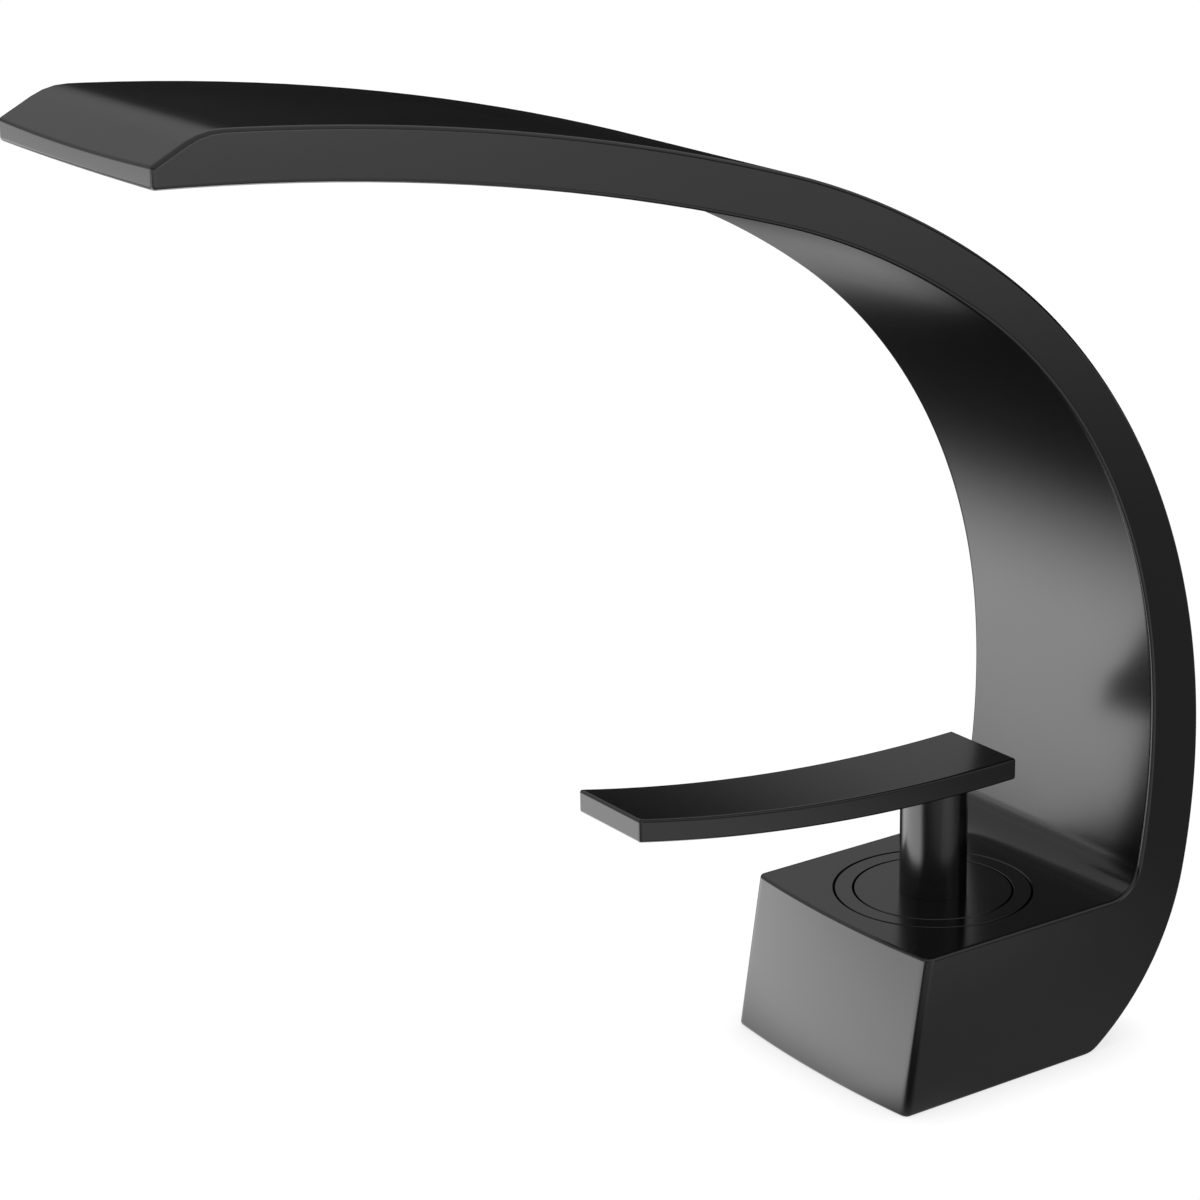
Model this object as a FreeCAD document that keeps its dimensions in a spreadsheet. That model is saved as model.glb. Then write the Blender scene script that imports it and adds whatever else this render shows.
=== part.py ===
import FreeCAD, Part

import os
import re
from math import atan2

import Sketcher

# Single-lever basin mixer. Millimetres, +Z up, the spout points along -Y and X is across the body.
# The origin is where the handle's turning axis meets the underside of the base.

Vector = FreeCAD.Vector
Rotation = FreeCAD.Rotation
Placement = FreeCAD.Placement

DIMENSIONS = [
    # Casting, outside.
    ("body_width", 50.0, "width of the base, the neck and the spout"),
    ("base_height", 29.5, "top of the base above the deck"),
    ("base_front_foot", 28.2, "front of the base at the deck, forward of the axis"),
    ("base_front_top", 23.3, "front of the base at its top, forward of the axis"),
    ("front_bow_radius", 215.0, "plan radius of the bowed front face"),
    ("front_corner_radius", 2.0, "rounding of the two upright front corners"),
    ("throat_radius", 6.5, "concave rounding between the base top and the neck"),
    ("heel_radius", 5.0, "rounding where the neck meets the deck"),
    ("edge_radius", 0.7, "rounding along the edges of the casting"),
    ("bend_centre_back", -7.28, "centre of the first bend, along Y"),
    ("bend_centre_up", 40.73, "centre of the first bend, above the deck"),
    ("bend_radius_one", 48.06, "outer radius of the first bend, from the deck up"),
    ("bend_radius_two", 125.36, "outer radius of the second bend"),
    ("bend_radius_three", 117.44, "outer radius of the third bend"),
    ("bend_radius_four", 160.54, "outer radius of the fourth bend"),
    ("bend_radius_five", 432.97, "outer radius of the last bend, to the tip"),
    ("heading_one", 79.25, "direction of the blade at the end of the first bend, degrees from +Y"),
    ("heading_two", 95.34, "direction at the end of the second bend"),
    ("heading_three", 144.92, "direction at the end of the third bend"),
    ("heading_four", 162.77, "direction at the end of the fourth bend"),
    ("neck_thickness", 11.65, "thickness of the blade at the end of the first bend"),
    ("step_two", -10.29, "outer radius less inner radius in the second bend"),
    ("step_three", 16.90, "the same in the third bend"),
    ("step_four", 8.78, "the same in the fourth bend"),
    ("step_five", -9.35, "the same in the last bend"),
    ("spout_reach", 165.6, "end of the spout, forward of the axis"),
    ("tip_slope_length", 9.0, "length along Y of the slope above the end face"),
    ("tip_slope_drop", 4.6, "drop of that slope"),
    ("tip_bow_radius", 520.0, "plan radius of the bowed end face"),
    ("tip_edge_radius", 4.0, "rounding between the spout's top and the slope"),
    # Casting, inside.
    ("channel_wall", 2.6, "metal left round the water channel in the blade"),
    ("channel_width", 22.0, "width of the water channel"),
    ("channel_foot", 20.0, "lower end of the water channel above the deck"),
    ("channel_end_gap", 7.5, "metal left between the channel and the spout's end"),
    ("cartridge_depth", 21.5, "floor of the cartridge pocket below the base top"),
    ("inlet_radius", 4.5, "threaded inlets, M10 x 1"),
    ("inlet_offset", 6.4, "each inlet from the mid-plane"),
    ("inlet_land", 1.6, "metal left between an inlet's thread and the pocket floor"),
    ("port_radius", 1.9, "ports through the floor and the cartridge"),
    ("port_offset", 4.7, "each supply port from the mid-plane"),
    ("port_forward", 5.1, "supply ports forward of the axis"),
    ("outlet_port_back", 4.0, "outlet port behind the axis"),
    ("passage_drop", 3.2, "centre of the outlet passage below the pocket floor"),
    ("passage_turn", 16.0, "where that passage turns up, behind the axis"),
    ("passage_end", 31.2, "where it meets the channel, behind the axis"),
    ("passage_rise", 23.0, "height of that point above the deck"),
    ("stud_radius", 3.4, "threaded hole for the fixing stud, M8"),
    ("stud_forward", 19.0, "that hole forward of the axis"),
    ("stud_depth", 10.5, "depth of that hole"),
    ("seal_radius", 20.0, "mean radius of the seal under the base"),
    ("seal_forward", 5.0, "centre of that seal forward of the axis"),
    ("seal_width", 2.0, "width of the seal"),
    ("seal_depth", 1.6, "depth of its groove"),
    # Cover ring and the handle's ball segment.
    ("pivot_depth", 5.0, "lift axis of the handle below the base top"),
    ("lift_range", 20.0, "how far the handle lifts, degrees"),
    ("disc_radius", 14.6, "flat top of the ball segment"),
    ("ball_gap", 0.3, "gap between the ball segment and its seat"),
    ("ball_skirt", 0.7, "ball segment below the lift axis"),
    ("ball_wall", 2.8, "wall of the ball segment at its widest"),
    ("ball_roof", 2.4, "thickness of its flat top"),
    ("ring_wall", 2.5, "cover ring from its ball seat to its outside"),
    ("ring_gap", 0.3, "groove between the cover ring and the base"),
    ("ring_thread_top", 4.0, "plain top of the cover ring above its thread"),
    ("ring_seat_gap", 1.1, "step that the cover ring stands on, above the cartridge"),
    ("ring_seal_height", 1.3, "height of the cover ring's O-ring"),
    ("ring_seal_depth", 1.1, "depth of its groove"),
    # Cartridge, from the pocket floor up.
    ("base_plate_thickness", 2.2, "thickness of the cartridge's base"),
    ("port_seal_width", 0.9, "width of the rings round the ports"),
    ("port_seal_depth", 1.0, "height of those rings"),
    ("port_seal_land", 0.25, "plastic left between a port and its ring"),
    ("gasket_thickness", 0.5, "gasket under the fixed disc"),
    ("gasket_radius", 11.5, "outside of that gasket"),
    ("fixed_disc_thickness", 1.6, "thickness of the fixed ceramic disc"),
    ("fixed_disc_gap", 0.1, "gap between the fixed disc and the housing"),
    ("moving_disc_thickness", 1.4, "thickness of the moving ceramic disc"),
    ("slide_end_gap", 0.5, "gap between the moving disc and the housing at the end of its slide"),
    ("mixing_radius", 5.2, "mixing hollow under the moving disc"),
    ("mixing_back", 2.5, "centre of that hollow behind the axis"),
    ("mixing_depth", 0.7, "depth of that hollow"),
    ("carrier_thickness", 2.1, "thickness of the disc carrier"),
    ("rotor_thickness", 1.35, "thickness of the rotor's flange"),
    ("rotor_flange_width", 1.8, "rotor's flange past its neck"),
    ("rotor_rise", 0.2, "top of the rotor above the housing"),
    ("face_gap", 0.05, "gap between faces that slide on each other"),
    ("side_gap", 0.3, "gap round pieces that turn or slide in the cartridge"),
    ("housing_wall", 0.8, "wall of the cartridge housing"),
    ("housing_lip", 0.8, "thickness of the housing's top lip"),
    ("flange_width", 1.6, "housing's flange past its wall"),
    ("flange_thickness", 2.0, "thickness of that flange"),
    ("housing_neck_step", 0.2, "housing above its flange, let in from its wall below"),
    ("nut_width", 2.6, "retaining nut past the wall of the pocket"),
    ("nut_height", 3.7, "height of the retaining nut"),
    ("nut_slot_width", 1.6, "key slots in the retaining nut"),
    ("nut_slot_depth", 1.2, "depth of those slots"),
    ("nut_slot_count", 6, "number of those slots"),
    ("ear_gap", 0.4, "gap between each rotor ear and the hub"),
    ("ear_thickness", 2.6, "thickness of each rotor ear"),
    ("ear_radius", 2.25, "round top of each rotor ear"),
    ("pin_radius", 1.25, "pivot pin"),
    ("pin_clearance", 0.05, "running clearance of the pivot pin"),
    ("spindle_radius", 4.0, "upper part of the spindle"),
    ("spindle_top_gap", 1.0, "gap between the spindle and the lever screw"),
    ("arm_radius", 1.4, "spindle below the lift axis"),
    ("arm_length", 8.9, "lift axis to the centre of the spindle's ball tip"),
    ("arm_tip_radius", 1.7, "ball tip of the spindle"),
    # Handle.
    ("hub_wall", 3.2, "wall of the ball segment's hub round the spindle"),
    ("hub_depth", 3.3, "hub below the lift axis"),
    ("post_radius", 6.27, "handle post"),
    ("spigot_wall", 1.4, "wall of the post's threaded end round the spindle"),
    ("spigot_length", 3.2, "length of that threaded end"),
    ("screw_head_height", 2.8, "head of the lever screw"),
    ("screw_head_gap", 0.4, "gap round that head in the post"),
    ("screw_radius", 2.0, "thread of the lever screw"),
    ("screw_land", 5.5, "metal in the post between the screw head and the lever"),
    ("screw_bite", 2.4, "length of the screw inside the lever"),
    ("socket_radius", 1.7, "hexagon socket of the lever screw, across corners"),
    ("socket_depth", 1.6, "depth of that socket"),
    ("locating_pin_radius", 0.8, "pin that stops the lever turning on the post"),
    ("locating_pin_offset", 4.2, "that pin from the post's axis"),
    ("locating_pin_reach", 1.8, "length of the pin on each side of the seat"),
    ("grub_radius", 2.5, "grub screw at the back of the post"),
    ("grub_height", 8.0, "grub screw above the base top"),
    ("grub_socket_radius", 1.4, "hexagon socket of the grub screw, across corners"),
    ("grub_socket_depth", 0.9, "depth of that socket"),
    ("plug_thickness", 0.8, "plug that covers the grub screw"),
    ("lever_width", 18.4, "width of the lever"),
    ("lever_thickness", 4.1, "thickness of the lever"),
    ("lever_front", 72.6, "front end of the lever, forward of the axis"),
    ("lever_rear", 11.8, "rear end of the lever, behind the axis"),
    ("lever_arc_radius", 359.4, "radius of the lever's top face"),
    ("lever_low_point", 3.6, "lowest point of the lever's arc, behind the axis"),
    ("lever_rise", 25.7, "top of the lever at its lowest point, above the base top"),
    ("lever_seat_depth", 0.5, "how far the post's end is let into the lever"),
    ("lever_edge_radius", 0.5, "rounding of the lever's edges"),
    # Water outlet under the spout's tip.
    ("outlet_back", 15.0, "centre of the outlet behind the spout's end"),
    ("plate_length", 34.0, "outlet plate across the spout"),
    ("plate_width", 11.0, "outlet plate along the spout"),
    ("plate_thickness", 1.2, "thickness of the outlet plate"),
    ("mouth_length", 20.0, "outlet opening across the spout"),
    ("mouth_width", 7.0, "outlet opening along the spout"),
    ("straightener_thickness", 1.4, "thickness of the flow straightener"),
    ("straightener_gap", 0.1, "gap round the flow straightener"),
    ("outlet_seal_width", 1.2, "width of the outlet seal"),
    ("outlet_seal_thickness", 0.5, "thickness of the outlet seal"),
    ("outlet_screw_offset", 14.4, "each outlet screw from the mid-plane"),
    ("outlet_screw_radius", 0.9, "thread of the outlet screws"),
    ("outlet_screw_length", 4.2, "length of the outlet screws"),
    ("outlet_head_radius", 1.7, "head of the outlet screws"),
    ("outlet_head_height", 0.8, "height of that head"),
    ("slot_width", 0.9, "slots in the outlet plate"),
    ("slot_pitch", 1.8, "spacing of those slots"),
    ("slot_count", 10, "number of those slots"),
    ("cell_width", 1.4, "cells of the flow straightener"),
    ("cell_pitch", 1.9, "spacing of those cells"),
    ("cell_columns", 10, "cells across the spout"),
    ("cell_rows", 3, "cells along the spout"),
]

doc = FreeCAD.newDocument("basin_mixer")
sheet = doc.addObject("Spreadsheet::Sheet", "Dimensions")
for row, (name, number, note) in enumerate(DIMENSIONS, start=1):
    sheet.set(f"A{row}", name)
    sheet.set(f"B{row}", str(number))
    sheet.set(f"C{row}", note)
    sheet.setAlias(f"B{row}", name)
doc.recompute()

DIMENSION_NAME = re.compile(r"[a-z]+(?:_[a-z]+)+")
CUT_MARGIN = 1.0  # how far a cut runs past the face that it opens
SAME_PLACE = 0.01  # points nearer than this are one point
SMOOTH_ANGLE = 0.1  # faces that meet at less than this, in radians, run into each other
FULL_TURN = 360
SKETCH_ORIGIN = (-1, 1)
CIRCLE_CENTRE = 3
HEXAGON_TURNS = range(0, FULL_TURN, 60)
parts = {}

# Levels that several pieces share, as expressions of the dimensions.
PIVOT_UP = "(base_height - pivot_depth)"
FLOOR_UP = "(base_height - cartridge_depth)"
GASKET_UP = f"({FLOOR_UP} + base_plate_thickness)"
FIXED_UP = f"({GASKET_UP} + gasket_thickness)"
MOVING_UP = f"({FIXED_UP} + fixed_disc_thickness + face_gap)"
CARRIER_UP = f"({MOVING_UP} + moving_disc_thickness)"
ROTOR_UP = f"({CARRIER_UP} + carrier_thickness + face_gap)"
LIP_UP = f"({ROTOR_UP} + rotor_thickness + face_gap)"
HOUSING_TOP = f"({LIP_UP} + housing_lip)"
NUT_UP = f"({HOUSING_TOP} - nut_height)"
FLANGE_UP = f"({NUT_UP} - flange_thickness)"
RING_UP = f"({HOUSING_TOP} + ring_seat_gap)"

# Radii that several pieces share, from the spindle outwards.
HUB_RADIUS = "(spindle_radius + hub_wall)"
SPIGOT_RADIUS = "(spindle_radius + spigot_wall)"
SCREW_HEAD_RADIUS = "(spindle_radius - screw_head_gap)"
EAR_INSIDE = f"({HUB_RADIUS} + ear_gap)"
ROTOR_NECK_RADIUS = f"(sqrt(({EAR_INSIDE} + ear_thickness)^2 + ear_radius^2) + face_gap)"
ROTOR_RADIUS = f"({ROTOR_NECK_RADIUS} + rotor_flange_width)"
CAVITY_RADIUS = f"({ROTOR_RADIUS} + side_gap)"
POCKET_RADIUS = f"({CAVITY_RADIUS} + housing_wall)"
HOUSING_NECK_RADIUS = f"({POCKET_RADIUS} - housing_neck_step)"
NUT_RADIUS = f"({POCKET_RADIUS} + nut_width)"
DISC_TRAVEL = "(arm_length * sin(lift_range))"
MOVING_DISC_RADIUS = f"({CAVITY_RADIUS} - {DISC_TRAVEL} - slide_end_gap)"
BALL_RADIUS = "sqrt(disc_radius^2 + pivot_depth^2)"
SEAT_RADIUS = f"({BALL_RADIUS} + ball_gap)"
RING_RADIUS = f"({SEAT_RADIUS} + ring_wall)"
RING_BORE_RADIUS = f"({RING_RADIUS} + ring_gap)"
LEVER_LOW = "(base_height + lever_rise)"
LEVER_SEAT = f"({LEVER_LOW} - lever_thickness + lever_seat_depth)"
HEAD_UP = f"({LEVER_SEAT} - screw_land - screw_head_height)"
TIP_UP = f"({PIVOT_UP} - arm_length)"


def size(expression):
    """The number that an expression of the dimensions gives."""
    return float(sheet.evalExpression(expression))


def cells(expression):
    """The same expression as another object of the document reads it."""
    return DIMENSION_NAME.sub(lambda found: "Dimensions." + found.group(0), expression)


def bind(item, **sizes):
    """Tie properties to the sheet. Two underscores stand for a dot."""
    for name, expression in sizes.items():
        item.setExpression(name.replace("__", "."), cells(expression))


# Sketches. Points are pairs of expressions: across and up in the sketch's own plane.


def new_body(label):
    body = doc.addObject("PartDesign::Body", label)
    parts[label] = body
    return body


def new_sketch(body, role, offset="0"):
    """An empty sketch on one of the body's origin planes, moved along the plane's normal."""
    sketch = body.newObject("Sketcher::SketchObject", "Sketch")
    plane = next(item for item in body.Origin.OriginFeatures if item.Role == role)
    sketch.AttachmentSupport = [(plane, "")]
    sketch.MapMode = "FlatFace"
    bind(sketch, AttachmentOffset__Base__z=offset)
    return sketch


def constrain(sketch, kind, items, expression):
    index = sketch.addConstraint(Sketcher.Constraint(kind, *items, size(expression)))
    sketch.setExpression(f"Constraints[{index}]", cells(expression))


def lock_point(sketch, geometry, end, point):
    constrain(sketch, "DistanceX", (*SKETCH_ORIGIN, geometry, end), point[0])
    constrain(sketch, "DistanceY", (*SKETCH_ORIGIN, geometry, end), point[1])


def arc_between(start, finish, centre, radius, turn):
    """The arc from start to finish, and which of its own ends is the start."""
    first = atan2(start.y - centre.y, start.x - centre.x)
    last = atan2(finish.y - centre.y, finish.x - centre.x)
    circle = Part.Circle(centre, Vector(0, 0, 1), radius)
    if turn == "left":
        return Part.ArcOfCircle(circle, first, last), (1, 2)
    return Part.ArcOfCircle(circle, last, first), (2, 1)


def outline(sketch, corners):
    """A closed outline. A corner may also carry the arc that leaves it: centre, radius and turn.
    Each arc is less than half a circle."""
    points = [Vector(size(corner[0]), size(corner[1]), 0) for corner in corners]
    edges = []
    for index, corner in enumerate(corners):
        start = points[index]
        finish = points[(index + 1) % len(points)]
        ends = (1, 2)
        if len(corner) == 2:
            curve = Part.LineSegment(start, finish)
        else:
            across, up, radius, turn = corner[2]
            centre = Vector(size(across), size(up), 0)
            curve, ends = arc_between(start, finish, centre, size(radius), turn)
        edges.append((sketch.addGeometry(curve), ends))
    for index, corner in enumerate(corners):
        edge, ends = edges[index]
        following, following_ends = edges[(index + 1) % len(edges)]
        sketch.addConstraint(
            Sketcher.Constraint("Coincident", edge, ends[1], following, following_ends[0])
        )
        lock_point(sketch, edge, ends[0], corner)
        if len(corner) == 3:
            constrain(sketch, "Radius", (edge,), corner[2][2])
    return sketch


def circle(sketch, across, up, radius):
    centre = Vector(size(across), size(up), 0)
    edge = sketch.addGeometry(Part.Circle(centre, Vector(0, 0, 1), size(radius)))
    lock_point(sketch, edge, CIRCLE_CENTRE, (across, up))
    constrain(sketch, "Radius", (edge,), radius)


def rectangle(sketch, length, width, across="0", up="0"):
    """A rectangle given by its centre."""
    left = f"{across} - ({length}) / 2"
    right = f"{across} + ({length}) / 2"
    low = f"{up} - ({width}) / 2"
    high = f"{up} + ({width}) / 2"
    outline(sketch, [(left, low), (right, low), (right, high), (left, high)])


# Features. Each cut is checked to have removed metal, because one that points away removes none.


def pad(body, sketch, length, both_sides=False):
    feature = body.newObject("PartDesign::Pad", "Pad")
    feature.Profile = sketch
    feature.SideType = "Symmetric" if both_sides else "One side"
    bind(feature, Length=length)
    doc.recompute()
    return feature


def pocket(body, sketch, length, upward=False, both_sides=False):
    before = body.Shape.Volume
    feature = body.newObject("PartDesign::Pocket", "Pocket")
    feature.Profile = sketch
    feature.SideType = "Symmetric" if both_sides else "One side"
    feature.Reversed = upward
    bind(feature, Length=length)
    doc.recompute()
    if not body.Shape.Volume < before:
        raise RuntimeError(f"{feature.Name} of {body.Label} removes nothing")
    return feature


def turned(body, corners):
    """A solid of revolution about Z from an outline of radii and heights."""
    feature = body.newObject("PartDesign::Revolution", "Revolution")
    sketch = outline(new_sketch(body, "XZ_Plane"), corners)
    feature.Profile = sketch
    feature.ReferenceAxis = (sketch, ["V_Axis"])
    feature.Angle = FULL_TURN
    doc.recompute()
    return feature


def bored(body, corners):
    """A cut of revolution about Z."""
    before = body.Shape.Volume
    feature = body.newObject("PartDesign::Groove", "Groove")
    sketch = outline(new_sketch(body, "XZ_Plane"), corners)
    feature.Profile = sketch
    feature.ReferenceAxis = (sketch, ["V_Axis"])
    feature.Angle = FULL_TURN
    doc.recompute()
    if not body.Shape.Volume < before:
        raise RuntimeError(f"{feature.Name} of {body.Label} removes nothing")
    return feature


def rounded(body, radius, chosen):
    """Round the edges of the body's tip that the test picks."""
    base = body.Tip
    names = [f"Edge{index}" for index, edge in enumerate(base.Shape.Edges, start=1) if chosen(edge)]
    feature = body.newObject("PartDesign::Fillet", "Fillet")
    feature.Base = (base, names)
    bind(feature, Radius=radius)
    doc.recompute()
    return feature


def middle(edge):
    return edge.valueAt((edge.FirstParameter + edge.LastParameter) / 2)


def is_sharp(shape, edge):
    """True where the two faces on the edge meet at an angle."""
    normals = []
    for face in shape.ancestorsOfType(edge, Part.Face):
        u, v = face.Surface.parameter(middle(edge))
        normals.append(face.normalAt(u, v))
    return len(normals) == 2 and normals[0].getAngle(normals[1]) > SMOOTH_ANGLE


def turned_body(label, corners):
    body = new_body(label)
    turned(body, corners)
    return body


def ring_corners(inner, outer, low, high):
    return [(inner, low), (outer, low), (outer, high), (inner, high)]


# The blade: five outer bends that run into each other, and four inner ones with the same headings.

BENDS = ["one", "two", "three", "four", "five"]
HEADINGS = [f"heading_{bend}" for bend in BENDS[:-1]]
OUTER_RADII = [f"bend_radius_{bend}" for bend in BENDS]
INNER_RADII = [None] + [f"(bend_radius_{bend} - step_{bend})" for bend in BENDS[1:]]


def next_centre(centre, radius, following, heading):
    """Centre of the bend that continues one of another radius without a kink."""
    back = f"({centre[0]} + ({radius} - {following}) * sin({heading}))"
    up = f"({centre[1]} - ({radius} - {following}) * cos({heading}))"
    return back, up


def blade_centres():
    outer = [("bend_centre_back", "bend_centre_up")]
    for index, heading in enumerate(HEADINGS):
        outer.append(next_centre(outer[-1], OUTER_RADII[index], OUTER_RADII[index + 1], heading))
    across_neck = f"({OUTER_RADII[0]} - neck_thickness)"
    inner = [None, next_centre(outer[0], across_neck, INNER_RADII[1], HEADINGS[0])]
    for index in range(1, len(HEADINGS)):
        radii = INNER_RADII[index], INNER_RADII[index + 1]
        inner.append(next_centre(inner[-1], *radii, HEADINGS[index]))
    return outer, inner


OUTER_CENTRES, INNER_CENTRES = blade_centres()


def on_bend(centre, radius, heading):
    return f"{centre[0]} + {radius} * sin({heading})", f"{centre[1]} - {radius} * cos({heading})"


def height_on_bend(centre, radius, back):
    return f"{centre[1]} + sqrt(({radius})^2 - ({back} - {centre[0]})^2)"


def back_on_bend(centre, radius, up):
    return f"{centre[0]} + sqrt(({radius})^2 - ({up} - {centre[1]})^2)"


def outer_side(inset, foot, end):
    """Corners of the outer side from a height up to a place along Y, inset into the metal."""
    radii = [f"({radius} - {inset})" for radius in OUTER_RADII]
    corners = [(back_on_bend(OUTER_CENTRES[0], radii[0], foot), foot)]
    for index, heading in enumerate(HEADINGS):
        corners.append(on_bend(OUTER_CENTRES[index], radii[index], heading))
    bends = [(*centre, radius, "left") for centre, radius in zip(OUTER_CENTRES, radii)]
    finish = (end, height_on_bend(OUTER_CENTRES[-1], radii[-1], end))
    return [(*corner, bend) for corner, bend in zip(corners, bends)] + [finish]


def inner_side(inset, foot, end):
    """The same for the inner side, from the tip down, with a straight run below the last bend."""
    radii = [None] + [f"({radius} + {inset})" for radius in INNER_RADII[1:]]
    last = len(BENDS) - 1
    corners = [(end, height_on_bend(INNER_CENTRES[last], radii[last], end))]
    for index in range(last, 1, -1):
        corners.append(on_bend(INNER_CENTRES[index], radii[index], HEADINGS[index - 1]))
    bends = [(*INNER_CENTRES[index], radii[index], "right") for index in range(last, 0, -1)]
    neck = on_bend(INNER_CENTRES[1], radii[1], HEADINGS[0])
    low = (f"{neck[0]} - ({neck[1]} - {foot}) / tan({HEADINGS[0]})", foot)
    return [(*corner, bend) for corner, bend in zip(corners, bends)] + [neck, low]


# The casting.

FRONT_SLOPE = "((base_front_foot - base_front_top) / base_height)"


def bow_outline(sketch, front, radius):
    """The ground in front of a bowed face, out past both sides."""
    half = f"(body_width / 2 + {CUT_MARGIN})"
    edge = f"(-({front}) + {radius} - sqrt({radius}^2 - {half}^2))"
    far = f"-({front}) - body_width"
    bow = ("0", f"-({front}) + {radius}", radius, "left")
    return outline(
        sketch, [(f"-{half}", edge, bow), (half, edge), (half, far), (f"-{half}", far)]
    )


def cast_outside(body):
    """Side outline padded to the full width, then the bowed front, the bowed tip and the edges."""
    tip_slope = "(tip_slope_drop / tip_slope_length)"
    slope_top = "-(spout_reach - tip_slope_length)"
    end = f"-(spout_reach + {CUT_MARGIN})"
    outer = outer_side("0", "0", slope_top)
    end_up = f"{outer[-1][1]} - tip_slope_drop - {tip_slope} * {CUT_MARGIN}"
    inner = inner_side("0", "base_height", end)
    front = [
        (f"-(base_front_top + {CUT_MARGIN})", "base_height"),
        (f"-(base_front_foot + {CUT_MARGIN})", "0"),
    ]
    side = outline(new_sketch(body, "YZ_Plane"), outer + [(end, end_up)] + inner + front)
    pad(body, side, "body_width", both_sides=True)

    low = new_sketch(body, "XY_Plane", f"-{CUT_MARGIN}")
    bow_outline(low, f"base_front_foot + {FRONT_SLOPE} * {CUT_MARGIN}", "front_bow_radius")
    high = new_sketch(body, "XY_Plane", f"base_height + {CUT_MARGIN}")
    bow_outline(high, f"base_front_top - {FRONT_SLOPE} * {CUT_MARGIN}", "front_bow_radius")
    before = body.Shape.Volume
    face = body.newObject("PartDesign::SubtractiveLoft", "FrontFace")
    face.Profile = low
    face.Sections = [high]
    face.Ruled = True
    doc.recompute()
    if not body.Shape.Volume < before:
        raise RuntimeError("the front face removes nothing")

    tip = bow_outline(new_sketch(body, "XY_Plane"), "spout_reach", "tip_bow_radius")
    pocket(body, tip, f"2 * ({outer[-1][1]})", upward=True)

    half = size("body_width") / 2
    base_top = size("base_height")
    throat_back = size(inner[-1][0])
    top_up = size(outer[-1][1])

    def across(edge, back, up):
        place = middle(edge)
        return place.distanceToPoint(Vector(0, back, up)) < SAME_PLACE and edge.Length > half

    def upright_corner(edge):
        place = middle(edge)
        outside = abs(abs(place.x) - half) < SAME_PLACE
        halfway_up = abs(place.z - base_top / 2) < SAME_PLACE
        return outside and halfway_up and place.y < 0

    rounded(body, "throat_radius", lambda edge: across(edge, throat_back, base_top))
    rounded(body, "tip_edge_radius", lambda edge: across(edge, size(slope_top), top_up))
    rounded(body, "heel_radius", lambda edge: across(edge, size(outer[0][0]), 0.0))
    rounded(body, "front_corner_radius", upright_corner)
    shape = body.Tip.Shape
    rounded(body, "edge_radius", lambda edge: is_sharp(shape, edge))


def water_ways(body):
    """Supply inlets, ports, and the passage from the cartridge to the channel in the blade."""
    inlets = new_sketch(body, "XY_Plane")
    circle(inlets, "inlet_offset", "-port_forward", "inlet_radius")
    circle(inlets, "-inlet_offset", "-port_forward", "inlet_radius")
    pocket(body, inlets, f"{FLOOR_UP} - inlet_land", upward=True)

    supply = new_sketch(body, "XY_Plane", FLOOR_UP)
    circle(supply, "port_offset", "-port_forward", "port_radius")
    circle(supply, "-port_offset", "-port_forward", "port_radius")
    pocket(body, supply, f"inlet_land + {CUT_MARGIN}")
    outlet = new_sketch(body, "XY_Plane", FLOOR_UP)
    circle(outlet, "0", "outlet_port_back", "port_radius")
    pocket(body, outlet, "passage_drop")

    level = f"({FLOOR_UP} - passage_drop)"
    run = "(passage_end - passage_turn)"
    rise = f"(passage_rise - {level})"
    placing(
        body.newObject("PartDesign::SubtractiveCylinder", "Passage"),
        "outlet_port_back",
        level,
        "-90",
        Radius="port_radius",
        Height="passage_turn - outlet_port_back",
    )
    for name, back, up in (("First", "outlet_port_back", level), ("Second", "passage_turn", level)):
        elbow = body.newObject("PartDesign::SubtractiveSphere", f"{name}Elbow")
        placing(elbow, back, up, "0", Radius="port_radius")
    placing(
        body.newObject("PartDesign::SubtractiveCylinder", "Riser"),
        "passage_turn",
        level,
        f"-atan({run} / {rise})",
        Radius="port_radius",
        Height=f"sqrt({run}^2 + {rise}^2)",
    )

    channel_end = "-(spout_reach - channel_end_gap)"
    corners = outer_side("channel_wall", "channel_foot", channel_end)
    corners += inner_side("channel_wall", "channel_foot", channel_end)
    pocket(body, outline(new_sketch(body, "YZ_Plane"), corners), "channel_width", both_sides=True)


def placing(item, back, up, turn, **sizes):
    """Set an item on the mid-plane, turned about X, and bind its sizes."""
    item.Placement = Placement(Vector(0, 0, 0), Rotation(Vector(1, 0, 0), 1))
    bind(item, Placement__Base__y=back, Placement__Base__z=up, Placement__Rotation__Angle=turn)
    bind(item, **sizes)
    doc.recompute()
    return item


# Local frame of the outlet: on the spout's underside, with its third axis into the metal.

OUTLET_BACK = "(outlet_back - spout_reach)"
OUTLET_UP = f"({height_on_bend(INNER_CENTRES[-1], INNER_RADII[-1], OUTLET_BACK)})"
OUTLET_TURN = f"-asin(({OUTLET_BACK} - {INNER_CENTRES[-1][0]}) / {INNER_RADII[-1]})"


def outlet_sketch(body):
    """A sketch on the underside of the spout, square to it at the outlet."""
    sketch = new_sketch(body, "XY_Plane")
    sketch.AttachmentOffset = Placement(Vector(0, 0, 0), Rotation(Vector(1, 0, 0), 1))
    bind(
        sketch,
        AttachmentOffset__Base__y=OUTLET_BACK,
        AttachmentOffset__Base__z=OUTLET_UP,
        AttachmentOffset__Rotation__Angle=OUTLET_TURN,
    )
    return sketch


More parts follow.
